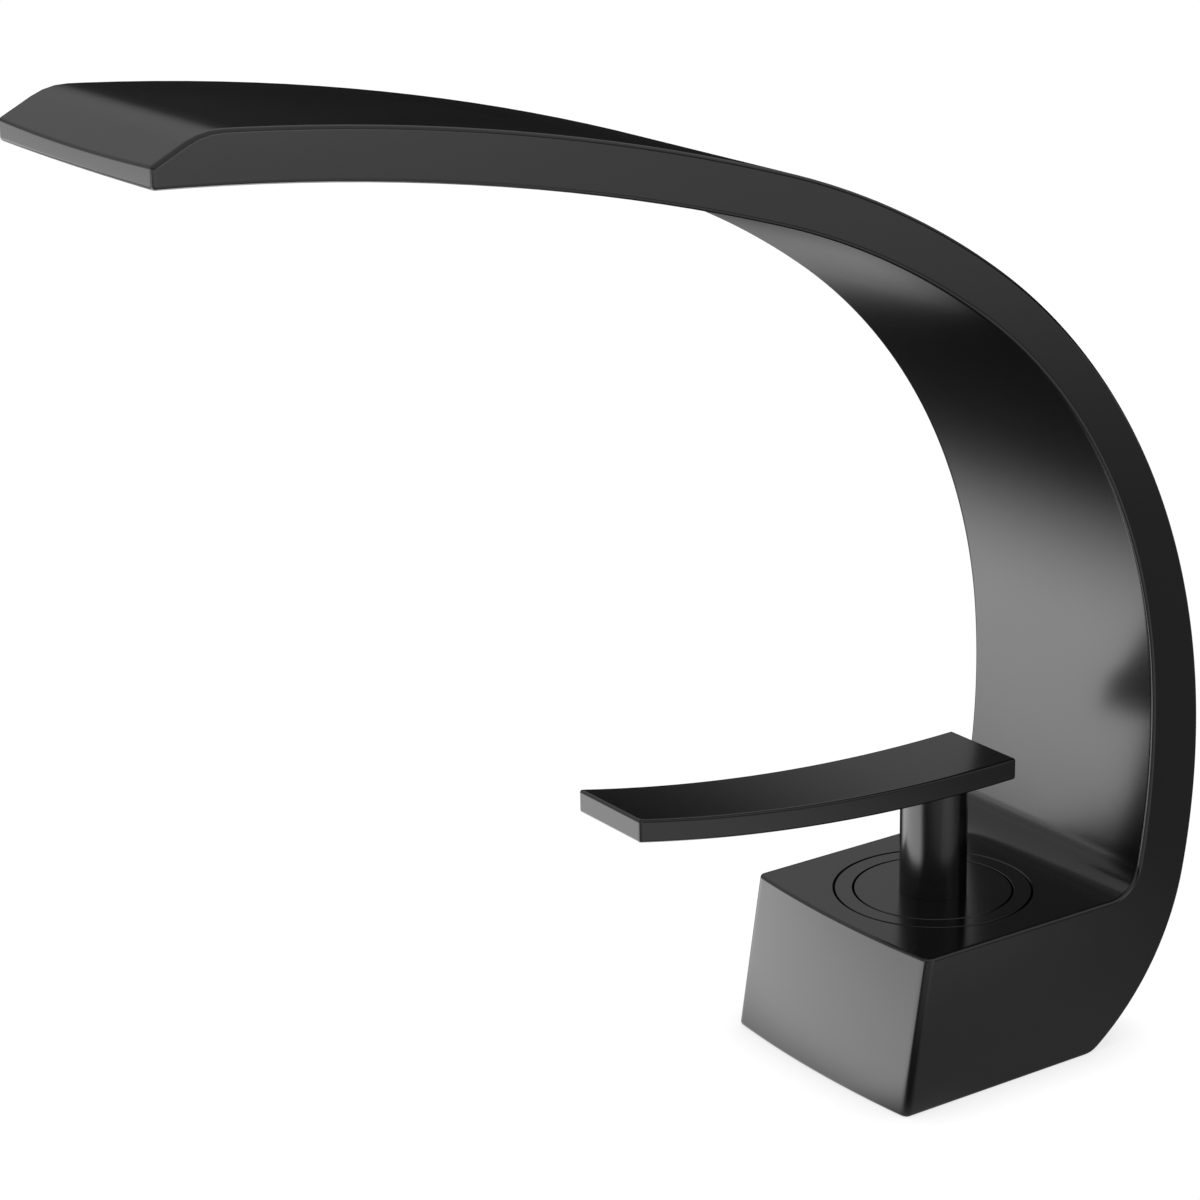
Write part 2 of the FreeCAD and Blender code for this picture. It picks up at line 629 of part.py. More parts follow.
def outlet_recess(body):
    """Seats for the outlet plate and its seal, the mouth into the channel and two screw holes."""
    plate = outlet_sketch(body)
    rectangle(plate, "plate_length", "plate_width")
    pocket(body, plate, "2 * plate_thickness", both_sides=True)
    seal = outlet_sketch(body)
    rectangle(seal, "mouth_length + 2 * outlet_seal_width", "mouth_width + 2 * outlet_seal_width")
    pocket(body, seal, "2 * (plate_thickness + outlet_seal_thickness)", both_sides=True)
    mouth = outlet_sketch(body)
    rectangle(mouth, "mouth_length", "mouth_width")
    pocket(body, mouth, "2 * (channel_wall + port_radius / 2)", both_sides=True)
    screws = outlet_sketch(body)
    circle(screws, "outlet_screw_offset", "0", "outlet_screw_radius")
    circle(screws, "-outlet_screw_offset", "0", "outlet_screw_radius")
    pocket(body, screws, "2 * outlet_screw_length", both_sides=True)


def underside(body):
    """Hole for the fixing stud and the groove of the deck seal."""
    stud = new_sketch(body, "XY_Plane")
    circle(stud, "0", "-stud_forward", "stud_radius")
    pocket(body, stud, "stud_depth", upward=True)
    groove = new_sketch(body, "XY_Plane")
    circle(groove, "0", "-seal_forward", "seal_radius + seal_width / 2")
    circle(groove, "0", "-seal_forward", "seal_radius - seal_width / 2")
    pocket(body, groove, "seal_depth", upward=True)


def faucet_body():
    body = new_body("faucet_body")
    cast_outside(body)
    mouth_up = f"base_height + {CUT_MARGIN}"
    bored(
        body,
        [
            ("0", FLOOR_UP),
            (POCKET_RADIUS, FLOOR_UP),
            (POCKET_RADIUS, FLANGE_UP),
            (NUT_RADIUS, FLANGE_UP),
            (NUT_RADIUS, RING_UP),
            (RING_BORE_RADIUS, RING_UP),
            (RING_BORE_RADIUS, mouth_up),
            ("0", mouth_up),
        ],
    )
    water_ways(body)
    outlet_recess(body)
    underside(body)


def base_seal():
    body = new_body("base_seal")
    ring = new_sketch(body, "XY_Plane")
    circle(ring, "0", "-seal_forward", "seal_radius + seal_width / 2")
    circle(ring, "0", "-seal_forward", "seal_radius - seal_width / 2")
    pad(body, ring, "seal_depth")


# Cover ring over the cartridge.


def cover_ring():
    """Plain ring with a thread below and a ball seat inside, grooved for its O-ring."""
    body = turned_body(
        "cover_ring",
        [
            (SEAT_RADIUS, RING_UP),
            (RING_BORE_RADIUS, RING_UP),
            (RING_BORE_RADIUS, "base_height - ring_thread_top"),
            (RING_RADIUS, "base_height - ring_thread_top"),
            (RING_RADIUS, "base_height"),
            (
                f"sqrt({SEAT_RADIUS}^2 - pivot_depth^2)",
                "base_height",
                ("0", PIVOT_UP, SEAT_RADIUS, "right"),
            ),
            (SEAT_RADIUS, PIVOT_UP),
        ],
    )
    bored(body, ring_seal_corners(CUT_MARGIN))


def ring_seal_corners(past_thread):
    """Section of the cover ring's O-ring, or of its groove when it runs past the thread."""
    low = f"({RING_UP} + ring_seal_height)"
    high = f"({low} + ring_seal_height)"
    inner = f"{RING_BORE_RADIUS} - ring_seal_depth"
    return ring_corners(inner, f"{RING_BORE_RADIUS} + {past_thread}", low, high)


def cover_ring_o_ring():
    turned_body("cover_ring_o_ring", ring_seal_corners(0))


# Cartridge.


def retaining_nut():
    body = turned_body(
        "retaining_nut", ring_corners(HOUSING_NECK_RADIUS, NUT_RADIUS, NUT_UP, HOUSING_TOP)
    )
    slot = new_sketch(body, "XY_Plane", HOUSING_TOP)
    slot_length = f"{NUT_RADIUS} - {HOUSING_NECK_RADIUS}"
    rectangle(slot, "nut_slot_width", slot_length, up=NUT_RADIUS)
    first = pocket(body, slot, "nut_slot_depth")
    slots = body.newObject("PartDesign::PolarPattern", "Slots")
    slots.Originals = [first]
    slots.Axis = (slot, ["N_Axis"])
    slots.Angle = 360
    bind(slots, Occurrences="nut_slot_count")
    body.Tip = slots


def cartridge_housing():
    turned_body(
        "cartridge_housing",
        [
            (CAVITY_RADIUS, FLOOR_UP),
            (POCKET_RADIUS, FLOOR_UP),
            (POCKET_RADIUS, FLANGE_UP),
            (f"{POCKET_RADIUS} + flange_width", FLANGE_UP),
            (f"{POCKET_RADIUS} + flange_width", NUT_UP),
            (HOUSING_NECK_RADIUS, NUT_UP),
            (HOUSING_NECK_RADIUS, HOUSING_TOP),
            (f"{ROTOR_NECK_RADIUS} + side_gap", HOUSING_TOP),
            (f"{ROTOR_NECK_RADIUS} + side_gap", LIP_UP),
            (CAVITY_RADIUS, LIP_UP),
        ],
    )


def port_places():
    return [
        ("port_offset", "-port_forward"),
        ("-port_offset", "-port_forward"),
        ("0", "outlet_port_back"),
    ]


def ported_disc(label, radius, low, thickness, port):
    """A round plate with the two supply ports and the outlet port."""
    top = f"{low} + {thickness}"
    body = turned_body(label, [("0", low), (radius, low), (radius, top), ("0", top)])
    ports = new_sketch(body, "XY_Plane", low)
    for across, back in port_places():
        circle(ports, across, back, port)
    pocket(body, ports, thickness, upward=True)
    return body


def port_ring(sketch, across, back):
    circle(sketch, across, back, "port_radius + port_seal_land")
    circle(sketch, across, back, "port_radius + port_seal_land + port_seal_width")


def cartridge_base():
    body = ported_disc(
        "cartridge_base", CAVITY_RADIUS, FLOOR_UP, "base_plate_thickness", "port_radius"
    )
    grooves = new_sketch(body, "XY_Plane", FLOOR_UP)
    for across, back in port_places():
        port_ring(grooves, across, back)
    pocket(body, grooves, "port_seal_depth", upward=True)


def cartridge_port_seals():
    """Three rubber rings, one round each port."""
    rings = []
    for across, back in port_places():
        outside = doc.addObject("Part::Cylinder", "RingOutside")
        inside = doc.addObject("Part::Cylinder", "RingInside")
        bind(outside, Radius="port_radius + port_seal_land + port_seal_width")
        bind(inside, Radius="port_radius + port_seal_land")
        for cylinder in (outside, inside):
            bind(cylinder, Height="port_seal_depth", Placement__Base__z=FLOOR_UP)
            bind(cylinder, Placement__Base__x=across, Placement__Base__y=back)
        rings.append(cut("PortRing", outside, inside))
    group("cartridge_port_seals", rings)


def cut(name, base, tool):
    result = doc.addObject("Part::Cut", name)
    result.Base = base
    result.Tool = tool
    return result


def group(label, members):
    compound = doc.addObject("Part::Compound", label)
    compound.Links = members
    parts[label] = compound


def disc_gasket():
    ported_disc(
        "disc_gasket", "gasket_radius", GASKET_UP, "gasket_thickness", "port_radius + port_seal_land"
    )


def fixed_ceramic_disc():
    radius = f"{CAVITY_RADIUS} - fixed_disc_gap"
    ported_disc("fixed_ceramic_disc", radius, FIXED_UP, "fixed_disc_thickness", "port_radius")


def moving_ceramic_disc():
    body = turned_body(
        "moving_ceramic_disc",
        [
            ("0", MOVING_UP),
            (MOVING_DISC_RADIUS, MOVING_UP),
            (MOVING_DISC_RADIUS, CARRIER_UP),
            ("0", CARRIER_UP),
        ],
    )
    hollow = new_sketch(body, "XY_Plane", MOVING_UP)
    circle(hollow, "0", "mixing_back", "mixing_radius")
    pocket(body, hollow, "mixing_depth", upward=True)


def disc_carrier():
    top = f"{CARRIER_UP} + carrier_thickness"
    turned_body(
        "disc_carrier",
        ring_corners("arm_tip_radius + side_gap", MOVING_DISC_RADIUS, CARRIER_UP, top),
    )


def cartridge_rotor():
    """Flanged rotor with a slot for the spindle's arm and two ears for the pivot pin."""
    flange_top = f"{ROTOR_UP} + rotor_thickness"
    top = f"({HOUSING_TOP} + rotor_rise)"
    body = turned_body(
        "cartridge_rotor",
        [
            ("0", ROTOR_UP),
            (ROTOR_RADIUS, ROTOR_UP),
            (ROTOR_RADIUS, flange_top),
            (ROTOR_NECK_RADIUS, flange_top),
            (ROTOR_NECK_RADIUS, top),
            ("0", top),
        ],
    )
    ear = outline(
        new_sketch(body, "YZ_Plane", EAR_INSIDE),
        [
            ("ear_radius", f"{top} - {CUT_MARGIN}"),
            ("ear_radius", PIVOT_UP, ("0", PIVOT_UP, "ear_radius", "left")),
            ("0", f"{PIVOT_UP} + ear_radius", ("0", PIVOT_UP, "ear_radius", "left")),
            ("-ear_radius", PIVOT_UP),
            ("-ear_radius", f"{top} - {CUT_MARGIN}"),
        ],
    )
    first = pad(body, ear, "ear_thickness")
    ears = body.newObject("PartDesign::Mirrored", "Ears")
    ears.Originals = [first]
    plane = next(item for item in body.Origin.OriginFeatures if item.Role == "YZ_Plane")
    ears.MirrorPlane = (plane, [""])
    body.Tip = ears
    doc.recompute()
    pin_hole(body, "pin_radius")
    slot = new_sketch(body, "XY_Plane", top)
    clear = "(arm_tip_radius + side_gap)"
    rectangle(slot, f"2 * {clear}", f"{DISC_TRAVEL} + 2 * {clear}", up=f"-{DISC_TRAVEL} / 2")
    pocket(body, slot, f"{top} - {ROTOR_UP}")


def pin_hole(body, radius):
    """A hole across the piece on the lift axis."""
    hole = new_sketch(body, "YZ_Plane")
    circle(hole, "0", PIVOT_UP, radius)
    pocket(body, hole, "body_width", both_sides=True)


def pivot_pin():
    pin = doc.addObject("Part::Cylinder", "pivot_pin")
    pin.Placement = Placement(Vector(0, 0, 0), Rotation(Vector(0, 1, 0), 90))
    bind(pin, Radius="pin_radius", Height=f"2 * ({EAR_INSIDE} + ear_thickness)")
    bind(pin, Placement__Base__x=f"-({EAR_INSIDE} + ear_thickness)", Placement__Base__z=PIVOT_UP)
    parts["pivot_pin"] = pin


def spindle():
    """Round spindle that swings on the pivot pin, with a thin arm and a ball tip."""
    top = f"{HEAD_UP} - spindle_top_gap"
    low = f"{PIVOT_UP} - hub_depth"
    meets_ball = f"{TIP_UP} + sqrt(arm_tip_radius^2 - arm_radius^2)"
    body = turned_body(
        "spindle",
        [
            ("0", top),
            ("spindle_radius", top),
            ("spindle_radius", low),
            ("arm_radius", low),
            ("arm_radius", meets_ball, ("0", TIP_UP, "arm_tip_radius", "right")),
            ("0", f"{TIP_UP} - arm_tip_radius"),
        ],
    )
    pin_hole(body, "pin_radius + pin_clearance")


# Handle.


def handle_base():
    """Ball segment with a flat top, a hub round the spindle and a threaded hole for the post."""
    roof = "base_height - ball_roof"
    low = f"{PIVOT_UP} - hub_depth"
    skirt = f"{PIVOT_UP} - ball_skirt"
    thread_foot = "base_height - spigot_length"
    body = turned_body(
        "handle_base",
        [
            (SPIGOT_RADIUS, "base_height"),
            ("disc_radius", "base_height", ("0", PIVOT_UP, BALL_RADIUS, "right")),
            (f"sqrt({BALL_RADIUS}^2 - ball_skirt^2)", skirt),
            (f"{BALL_RADIUS} - ball_wall", skirt),
            (f"{BALL_RADIUS} - ball_wall", roof),
            (HUB_RADIUS, roof),
            (HUB_RADIUS, low),
            ("spindle_radius", low),
            ("spindle_radius", thread_foot),
            (SPIGOT_RADIUS, thread_foot),
        ],
    )
    pin_hole(body, "pin_radius + pin_clearance")


def handle_post():
    """Post bored for the spindle from below, with a screw hole above and a grub screw hole behind."""
    foot = "base_height - spigot_length"
    land = f"{LEVER_SEAT} - screw_land"
    body = turned_body(
        "handle_post",
        [
            ("spindle_radius", foot),
            (SPIGOT_RADIUS, foot),
            (SPIGOT_RADIUS, "base_height"),
            ("post_radius", "base_height"),
            ("post_radius", LEVER_SEAT),
            ("screw_radius", LEVER_SEAT),
            ("screw_radius", land),
            ("spindle_radius", land),
        ],
    )
    pin = new_sketch(body, "XY_Plane", LEVER_SEAT)
    circle(pin, "locating_pin_offset", "0", "locating_pin_radius")
    pocket(body, pin, "locating_pin_reach")
    grub = new_sketch(body, "XZ_Plane")
    circle(grub, "0", "base_height + grub_height", "grub_radius")
    pocket(body, grub, f"post_radius + {CUT_MARGIN}")


def grub_cylinder(name, radius, start, length):
    cylinder = doc.addObject("Part::Cylinder", name)
    placing(cylinder, start, "base_height + grub_height", "-90", Radius=radius, Height=length)
    return cylinder


def hexagon(sketch, radius):
    """A hexagon round the sketch's origin, by its radius across corners."""
    outline(sketch, [(f"{radius} * cos({turn})", f"{radius} * sin({turn})") for turn in HEXAGON_TURNS])


def handle_grub_screw():
    """Set screw bearing on the spindle, with a hexagon socket facing back."""
    body = new_body("handle_grub_screw")
    face = new_sketch(body, "XY_Plane")
    circle(face, "0", "0", "grub_radius")
    pad(body, face, "post_radius - plug_thickness - spindle_radius")
    socket = new_sketch(body, "XY_Plane", "post_radius - plug_thickness - spindle_radius")
    hexagon(socket, "grub_socket_radius")
    pocket(body, socket, "grub_socket_depth")
    placing(body, "spindle_radius", "base_height + grub_height", "-90")


def grub_screw_plug():
    """Small plug over the grub screw, flush with the post."""
    start = "post_radius - plug_thickness"
    blank = grub_cylinder("PlugBlank", "grub_radius", start, f"plug_thickness + {CUT_MARGIN}")
    post = doc.addObject("Part::Cylinder", "PlugLimit")
    bind(post, Radius="post_radius", Height=LEVER_SEAT)
    plug = doc.addObject("Part::Common", "grub_screw_plug")
    plug.Base = blank
    plug.Tool = post
    parts["grub_screw_plug"] = plug


def lever_plate():
    """Plate between two arcs about one centre, let onto the post and tapped for its screw."""
    body = new_body("lever_plate")
    centre_up = f"({LEVER_LOW} + lever_arc_radius)"
    under_radius = "(lever_arc_radius + lever_thickness)"

    def height(radius, back):
        return f"{centre_up} - sqrt({radius}^2 - ({back} - lever_low_point)^2)"

    def arc(radius, turn):
        return ("lever_low_point", centre_up, radius, turn)

    front = "(-lever_front)"
    rear = "lever_rear"
    side = outline(
        new_sketch(body, "YZ_Plane"),
        [
            (front, height(under_radius, front), arc(under_radius, "left")),
            (rear, height(under_radius, rear)),
            (rear, height("lever_arc_radius", rear), arc("lever_arc_radius", "right")),
            (front, height("lever_arc_radius", front)),
        ],
    )
    pad(body, side, "lever_width", both_sides=True)
    rounded(body, "lever_edge_radius", lambda edge: True)
    seat = new_sketch(body, "XY_Plane", LEVER_SEAT)
    circle(seat, "0", "0", "post_radius")
    pocket(body, seat, "lever_seat_depth + lever_thickness")
    screw = new_sketch(body, "XY_Plane", LEVER_SEAT)
    circle(screw, "0", "0", "screw_radius")
    pocket(body, screw, "screw_bite", upward=True)
    pin = new_sketch(body, "XY_Plane", LEVER_SEAT)
    circle(pin, "locating_pin_offset", "0", "locating_pin_radius")
    pocket(body, pin, "locating_pin_reach", upward=True)


def lever_screw():
    """Cap screw that pulls the lever onto the post, its hexagon socket facing down."""
    shoulder = f"{HEAD_UP} + screw_head_height"
    top = f"{LEVER_SEAT} + screw_bite"
    body = turned_body(
        "lever_screw",
        [
            ("0", HEAD_UP),
            (SCREW_HEAD_RADIUS, HEAD_UP),
            (SCREW_HEAD_RADIUS, shoulder),
            ("screw_radius", shoulder),
            ("screw_radius", top),
            ("0", top),
        ],
    )
    socket = new_sketch(body, "XY_Plane", HEAD_UP)
    hexagon(socket, "socket_radius")
    pocket(body, socket, "socket_depth", upward=True)


def lever_locating_pin():
    pin = doc.addObject("Part::Cylinder", "lever_locating_pin")
    bind(pin, Radius="locating_pin_radius", Height="2 * locating_pin_reach")
    bind(pin, Placement__Base__x="locating_pin_offset")
    bind(pin, Placement__Base__z=f"{LEVER_SEAT} - locating_pin_reach")
    parts["lever_locating_pin"] = pin


# Outlet pieces, built flat and then set on the spout's underside.


def set_in_outlet(item):
    placing(item, OUTLET_BACK, OUTLET_UP, OUTLET_TURN)


def outlet_plate():
    """Flat plate with a row of slots and two screw holes with sunk heads."""
    body = new_body("outlet_plate")
    face = new_sketch(body, "XY_Plane")
    rectangle(face, "plate_length", "plate_width")
    pad(body, face, "plate_thickness")
    slot = new_sketch(body, "XY_Plane")
    slot_length = "mouth_width - 2 * straightener_gap"
    rectangle(slot, "slot_width", slot_length, "-slot_pitch * (slot_count - 1) / 2")
    first = pocket(body, slot, "plate_thickness", upward=True)
    slots = body.newObject("PartDesign::LinearPattern", "Slots")
    slots.Originals = [first]
    slots.Direction = (slot, ["H_Axis"])
    bind(slots, Length="slot_pitch * (slot_count - 1)", Occurrences="slot_count")
    body.Tip = slots
    doc.recompute()
    screw_holes(body, "outlet_screw_radius", "plate_thickness")
    screw_holes(body, "outlet_head_radius", "outlet_head_height")
    set_in_outlet(body)


def screw_holes(body, radius, depth):
    holes = new_sketch(body, "XY_Plane")
    circle(holes, "outlet_screw_offset", "0", radius)
    circle(holes, "-outlet_screw_offset", "0", radius)
    pocket(body, holes, depth, upward=True)


def outlet_straightener():
    """Plastic block of square cells in the mouth of the spout."""
    body = new_body("outlet_straightener")
    face = new_sketch(body, "XY_Plane", "plate_thickness")
    rectangle(face, "mouth_length - 2 * straightener_gap", "mouth_width - 2 * straightener_gap")
    pad(body, face, "straightener_thickness")
    cell = new_sketch(body, "XY_Plane", "plate_thickness")
    left = "-cell_pitch * (cell_columns - 1) / 2"
    low = "-cell_pitch * (cell_rows - 1) / 2"
    rectangle(cell, "cell_width", "cell_width", left, low)
    first = pocket(body, cell, "straightener_thickness", upward=True)
    cells_across = body.newObject("PartDesign::LinearPattern", "CellsAcross")
    cells_across.Direction = (cell, ["H_Axis"])
    bind(cells_across, Length="cell_pitch * (cell_columns - 1)", Occurrences="cell_columns")
    cells_along = body.newObject("PartDesign::LinearPattern", "CellsAlong")
    cells_along.Direction = (cell, ["V_Axis"])
    bind(cells_along, Length="cell_pitch * (cell_rows - 1)", Occurrences="cell_rows")
    grid = body.newObject("PartDesign::MultiTransform", "Cells")
    grid.Originals = [first]
    grid.Transformations = [cells_across, cells_along]
    body.Tip = grid
    set_in_outlet(body)


def outlet_seal():
    body = new_body("outlet_seal")
    ring = new_sketch(body, "XY_Plane", "plate_thickness")
    rectangle(ring, "mouth_length + 2 * outlet_seal_width", "mouth_width + 2 * outlet_seal_width")
    rectangle(ring, "mouth_length", "mouth_width")
    pad(body, ring, "outlet_seal_thickness")
    set_in_outlet(body)


def outlet_screws():
    """Two small screws with flat heads, flush with the plate."""
    screws = []
    for side in ("outlet_screw_offset", "-outlet_screw_offset"):
        head = doc.addObject("Part::Cylinder", "ScrewHead")
        bind(head, Radius="outlet_head_radius", Height="outlet_head_height")
        shank = doc.addObject("Part::Cylinder", "ScrewShank")
        bind(shank, Radius="outlet_screw_radius", Height="outlet_screw_length")
        screw = doc.addObject("Part::Fuse", "OutletScrew")
        screw.Base = head
        screw.Tool = shank
        bind(screw, Placement__Base__x=side)
        screws.append(screw)
    group("outlet_screws", screws)
    set_in_outlet(parts["outlet_screws"])


def check_all():
    doc.recompute()
    failed = [item.Label for item in doc.Objects if {"Invalid", "Error"} & set(item.State)]
    for label, item in parts.items():
        if item.Shape.isNull() or not item.Shape.isValid() or not item.Shape.Solids:
            failed.append(label)
    if failed:
        raise RuntimeError(f"failed: {failed}")


def write_all():
    os.makedirs("parts", exist_ok=True)
    for label, item in parts.items():
        item.Shape.exportStep(os.path.join("parts", label + ".step"))
        print(label, len(item.Shape.Solids), round(item.Shape.Volume, 1))


PIECES = [
    faucet_body,
    base_seal,
    cover_ring,
    cover_ring_o_ring,
    retaining_nut,
    cartridge_housing,
    cartridge_base,
    cartridge_port_seals,
    disc_gasket,
    fixed_ceramic_disc,
    moving_ceramic_disc,
    disc_carrier,
    cartridge_rotor,
    pivot_pin,
    spindle,
    handle_base,
    handle_post,
    handle_grub_screw,
    grub_screw_plug,
    lever_plate,
    lever_screw,
    lever_locating_pin,
    outlet_plate,
    outlet_straightener,
    outlet_seal,
    outlet_screws,
]

for build_piece in PIECES:
    build_piece()
check_all()
write_all()
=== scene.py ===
"""Single-lever basin mixer: the finished look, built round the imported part."""

from math import asin, atan2, ceil, cos, pi, radians, sin, sqrt, tan

import bmesh
import bpy
import numpy as np
from mathutils import Euler, Matrix, Vector


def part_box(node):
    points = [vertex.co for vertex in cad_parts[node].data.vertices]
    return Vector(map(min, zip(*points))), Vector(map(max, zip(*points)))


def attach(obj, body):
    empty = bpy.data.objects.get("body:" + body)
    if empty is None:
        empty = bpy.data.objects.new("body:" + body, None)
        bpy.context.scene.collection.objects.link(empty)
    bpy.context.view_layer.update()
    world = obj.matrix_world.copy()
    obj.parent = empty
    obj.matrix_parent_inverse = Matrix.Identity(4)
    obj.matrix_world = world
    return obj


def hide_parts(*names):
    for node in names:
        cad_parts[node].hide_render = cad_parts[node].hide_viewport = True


bl_info = {
    "name": "Basin mixer",
    "version": (1, 0, 0),
    "blender": (4, 5, 0),
    "location": "View3D > Sidebar > Basin mixer",
    "description": "Builds the pieces of a single-lever basin mixer and its studio",
    "category": "Object",
}

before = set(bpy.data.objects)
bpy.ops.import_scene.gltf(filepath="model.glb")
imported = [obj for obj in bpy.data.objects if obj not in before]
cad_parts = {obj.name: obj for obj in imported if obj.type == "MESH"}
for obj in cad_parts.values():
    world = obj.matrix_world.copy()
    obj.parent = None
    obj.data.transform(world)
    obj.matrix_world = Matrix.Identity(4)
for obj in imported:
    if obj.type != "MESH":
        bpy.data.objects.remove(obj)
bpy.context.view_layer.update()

MM = 0.001
JOIN_DISTANCE = 1e-6
LEAST_AREA = 1e-14
FINE_STEPS = 160  # sides of a turned piece whose outside is seen
CASTING_STATIONS = 49
SHARP_ANGLE = radians(38)
BEVEL_ANGLE = radians(40)

# The blade's bends in millimetres and degrees: outer radius, outer less inner radius, and the
# heading in which the bend ends, from +Y towards +Z.
FIRST_CENTRE = (-7.28, 40.73)
BENDS = [
    (48.06, 11.65, 79.25),
    (125.36, -10.29, 95.34),
    (117.44, 16.90, 144.92),
    (160.54, 8.78, 162.77),
    (432.97, -9.35, None),
]


# Outlines. A corner is (across, up, rounding) or (across, up, rounding, centre), where the centre
# belongs to the arc that leaves the corner. The inside of a closed outline lies on its left.


def left_of(direction):
    return np.array([-direction[1], direction[0]])


def trace_side(start, finish, centre, step):
    """Points and inward normals along a straight side or an arc of less than half a circle."""
    start, finish = np.array(start, float), np.array(finish, float)
    if centre is None:
        along = finish - start
        normal = left_of(along / np.linalg.norm(along))
        return np.array([start, finish]), np.array([normal, normal])
    centre = np.array(centre, float)
    first, last = start - centre, finish - centre
    sweep = atan2(first[0] * last[1] - first[1] * last[0], float(first @ last))
    radius = np.linalg.norm(first)
    begin = atan2(first[1], first[0])
    turns = begin + sweep * np.linspace(0, 1, max(2, ceil(abs(sweep) / step)) + 1)
    outward = np.stack([np.cos(turns), np.sin(turns)], 1)
    return centre + radius * outward, outward * (-1 if sweep > 0 else 1)


def rounding_centre(before, after, radius, turn):
    """Where the two sides, both moved in by the radius, cross: the place and how far along each."""
    first = before[0] + turn * radius * before[1]
    second = after[0] + turn * radius * after[1]
    for i in reversed(range(len(first) - 1)):
        for j in range(len(second) - 1):
            along, across = first[i + 1] - first[i], second[j + 1] - second[j]
            area = along[0] * across[1] - along[1] * across[0]
            if abs(area) < 1e-12:
                continue
            gap = second[j] - first[i]
            t = (gap[0] * across[1] - gap[1] * across[0]) / area
            u = (gap[0] * along[1] - gap[1] * along[0]) / area
            if -1e-9 <= t <= 1 + 1e-9 and -1e-9 <= u <= 1 + 1e-9:
                return first[i] + t * along, i + t, j + u
    raise RuntimeError(f"no rounding of {radius} fits between two sides")


def pick(table, place):
    """A row of a table, or a mix of two rows."""
    low = min(int(place), len(table) - 2)
    part = place - low
    return table[low] * (1 - part) + table[low + 1] * part


def chains_of(corners, step):
    """The sides of an outline, with those that run into each other smoothly joined in one chain."""
    chains = []
    for index, corner in enumerate(corners):
        centre = corner[3] if len(corner) > 3 else None
        finish = corners[(index + 1) % len(corners)][:2]
        points, normals = trace_side(corner[:2], finish, centre, step)
        if corner[2] is None:
            places, inward, radius = chains[-1]
            places, inward = np.vstack([places, points[1:]]), np.vstack([inward, normals[1:]])
            chains[-1] = (places, inward, radius)
        else:
            chains.append((points, normals, corner[2]))
    return chains


def trace(corners, step=radians(1.0), round_step=radians(11)):
    """Points, inward normals and labels of an outline. A label is the number of the chain of sides,
    or that number less a half for the rounding before it."""
    chains = chains_of(corners, step)
    starts, ends = [0.0] * len(chains), [len(chain[0]) - 1.0 for chain in chains]
    arcs = {}
    for index, (places, inward, radius) in enumerate(chains):
        if radius:
            before = chains[index - 1]
            leaving, coming = before[1][-1], inward[0]
            turn = 1 if leaving[0] * coming[1] - leaving[1] * coming[0] > 0 else -1
            centre, end, start = rounding_centre(before, (places, inward), radius, turn)
            ends[index - 1], starts[index] = end, start
            arcs[index] = (centre, turn, pick(before[1], end), pick(inward, start))
    points, normals, labels = [], [], []
    for index, (places, inward, radius) in enumerate(chains):
        if index in arcs:
            centre, turn, first, last = arcs[index]
            sweep = atan2(first[0] * last[1] - first[1] * last[0], float(first @ last))
            pieces = max(2, ceil(abs(sweep) / round_step))
            for number in range(1, pieces):
                angle = atan2(first[1], first[0]) + sweep * number / pieces
                normal = np.array([cos(angle), sin(angle)])
                points.append(centre - turn * radius * normal)
                normals.append(normal)
                labels.append(index - 0.5)
        stops = [starts[index], *range(int(starts[index]) + 1, ceil(ends[index])), ends[index]]
        if (index + 1) % len(chains) not in arcs:
            stops = stops[:-1]
        for stop in stops:
            points.append(pick(places, stop))
            normals.append(pick(inward, stop))
            labels.append(float(index))
    return np.array(points), np.array(normals), np.array(labels)


# Meshes and objects.


def new_object(name, mesh):
    piece = bpy.data.objects.new(name, mesh)
    bpy.context.scene.collection.objects.link(piece)
    return piece


def mesh_of(name, vertices, faces, edges=()):
    mesh = bpy.data.meshes.new(name)
    mesh.from_pydata([tuple(map(float, vertex)) for vertex in vertices], list(edges), faces)
    mesh.update()
    return mesh


def evaluated_mesh(piece):
    """The piece's mesh with its modifiers applied."""
    graph = bpy.context.evaluated_depsgraph_get()
    graph.update()
    return bpy.data.meshes.new_from_object(piece.evaluated_get(graph), depsgraph=graph)


def settle(piece):
    """Replace the piece's mesh by what its modifiers make, and take the modifiers off."""
    made = evaluated_mesh(piece)
    piece.modifiers.clear()
    piece.data = made
    return piece


def cut_away(piece, *cutters):
    """Take the cutters out of the piece. Each cut face keeps the cutter's material."""
    for cutter in cutters:
        cut = piece.modifiers.new("Cut", "BOOLEAN")
        cut.operation = "DIFFERENCE"
        cut.solver = "EXACT"
        cut.material_mode = "TRANSFER"
        cut.object = cutter
    settle(piece)
    for cutter in cutters:
        bpy.data.objects.remove(cutter)
    return piece


def join_up(piece):
    """Join doubles and point the faces outwards."""
    work = bmesh.new()
    work.from_mesh(piece.data)
    bmesh.ops.remove_doubles(work, verts=work.verts, dist=JOIN_DISTANCE)
    bmesh.ops.recalc_face_normals(work, faces=work.faces)
    work.to_mesh(piece.data)
    work.free()
    return piece


def smooth(piece):
    """Join a finished piece up and shade it smooth. It is done once, after the cuts."""
    join_up(piece)
    piece.data.shade_smooth()
    piece.data.set_sharp_from_angle(angle=SHARP_ANGLE)
    weigh = piece.modifiers.new("Even shading", "WEIGHTED_NORMAL")
    weigh.mode = "FACE_AREA"
    weigh.weight = 100
    weigh.keep_sharp = True
    return settle(piece)


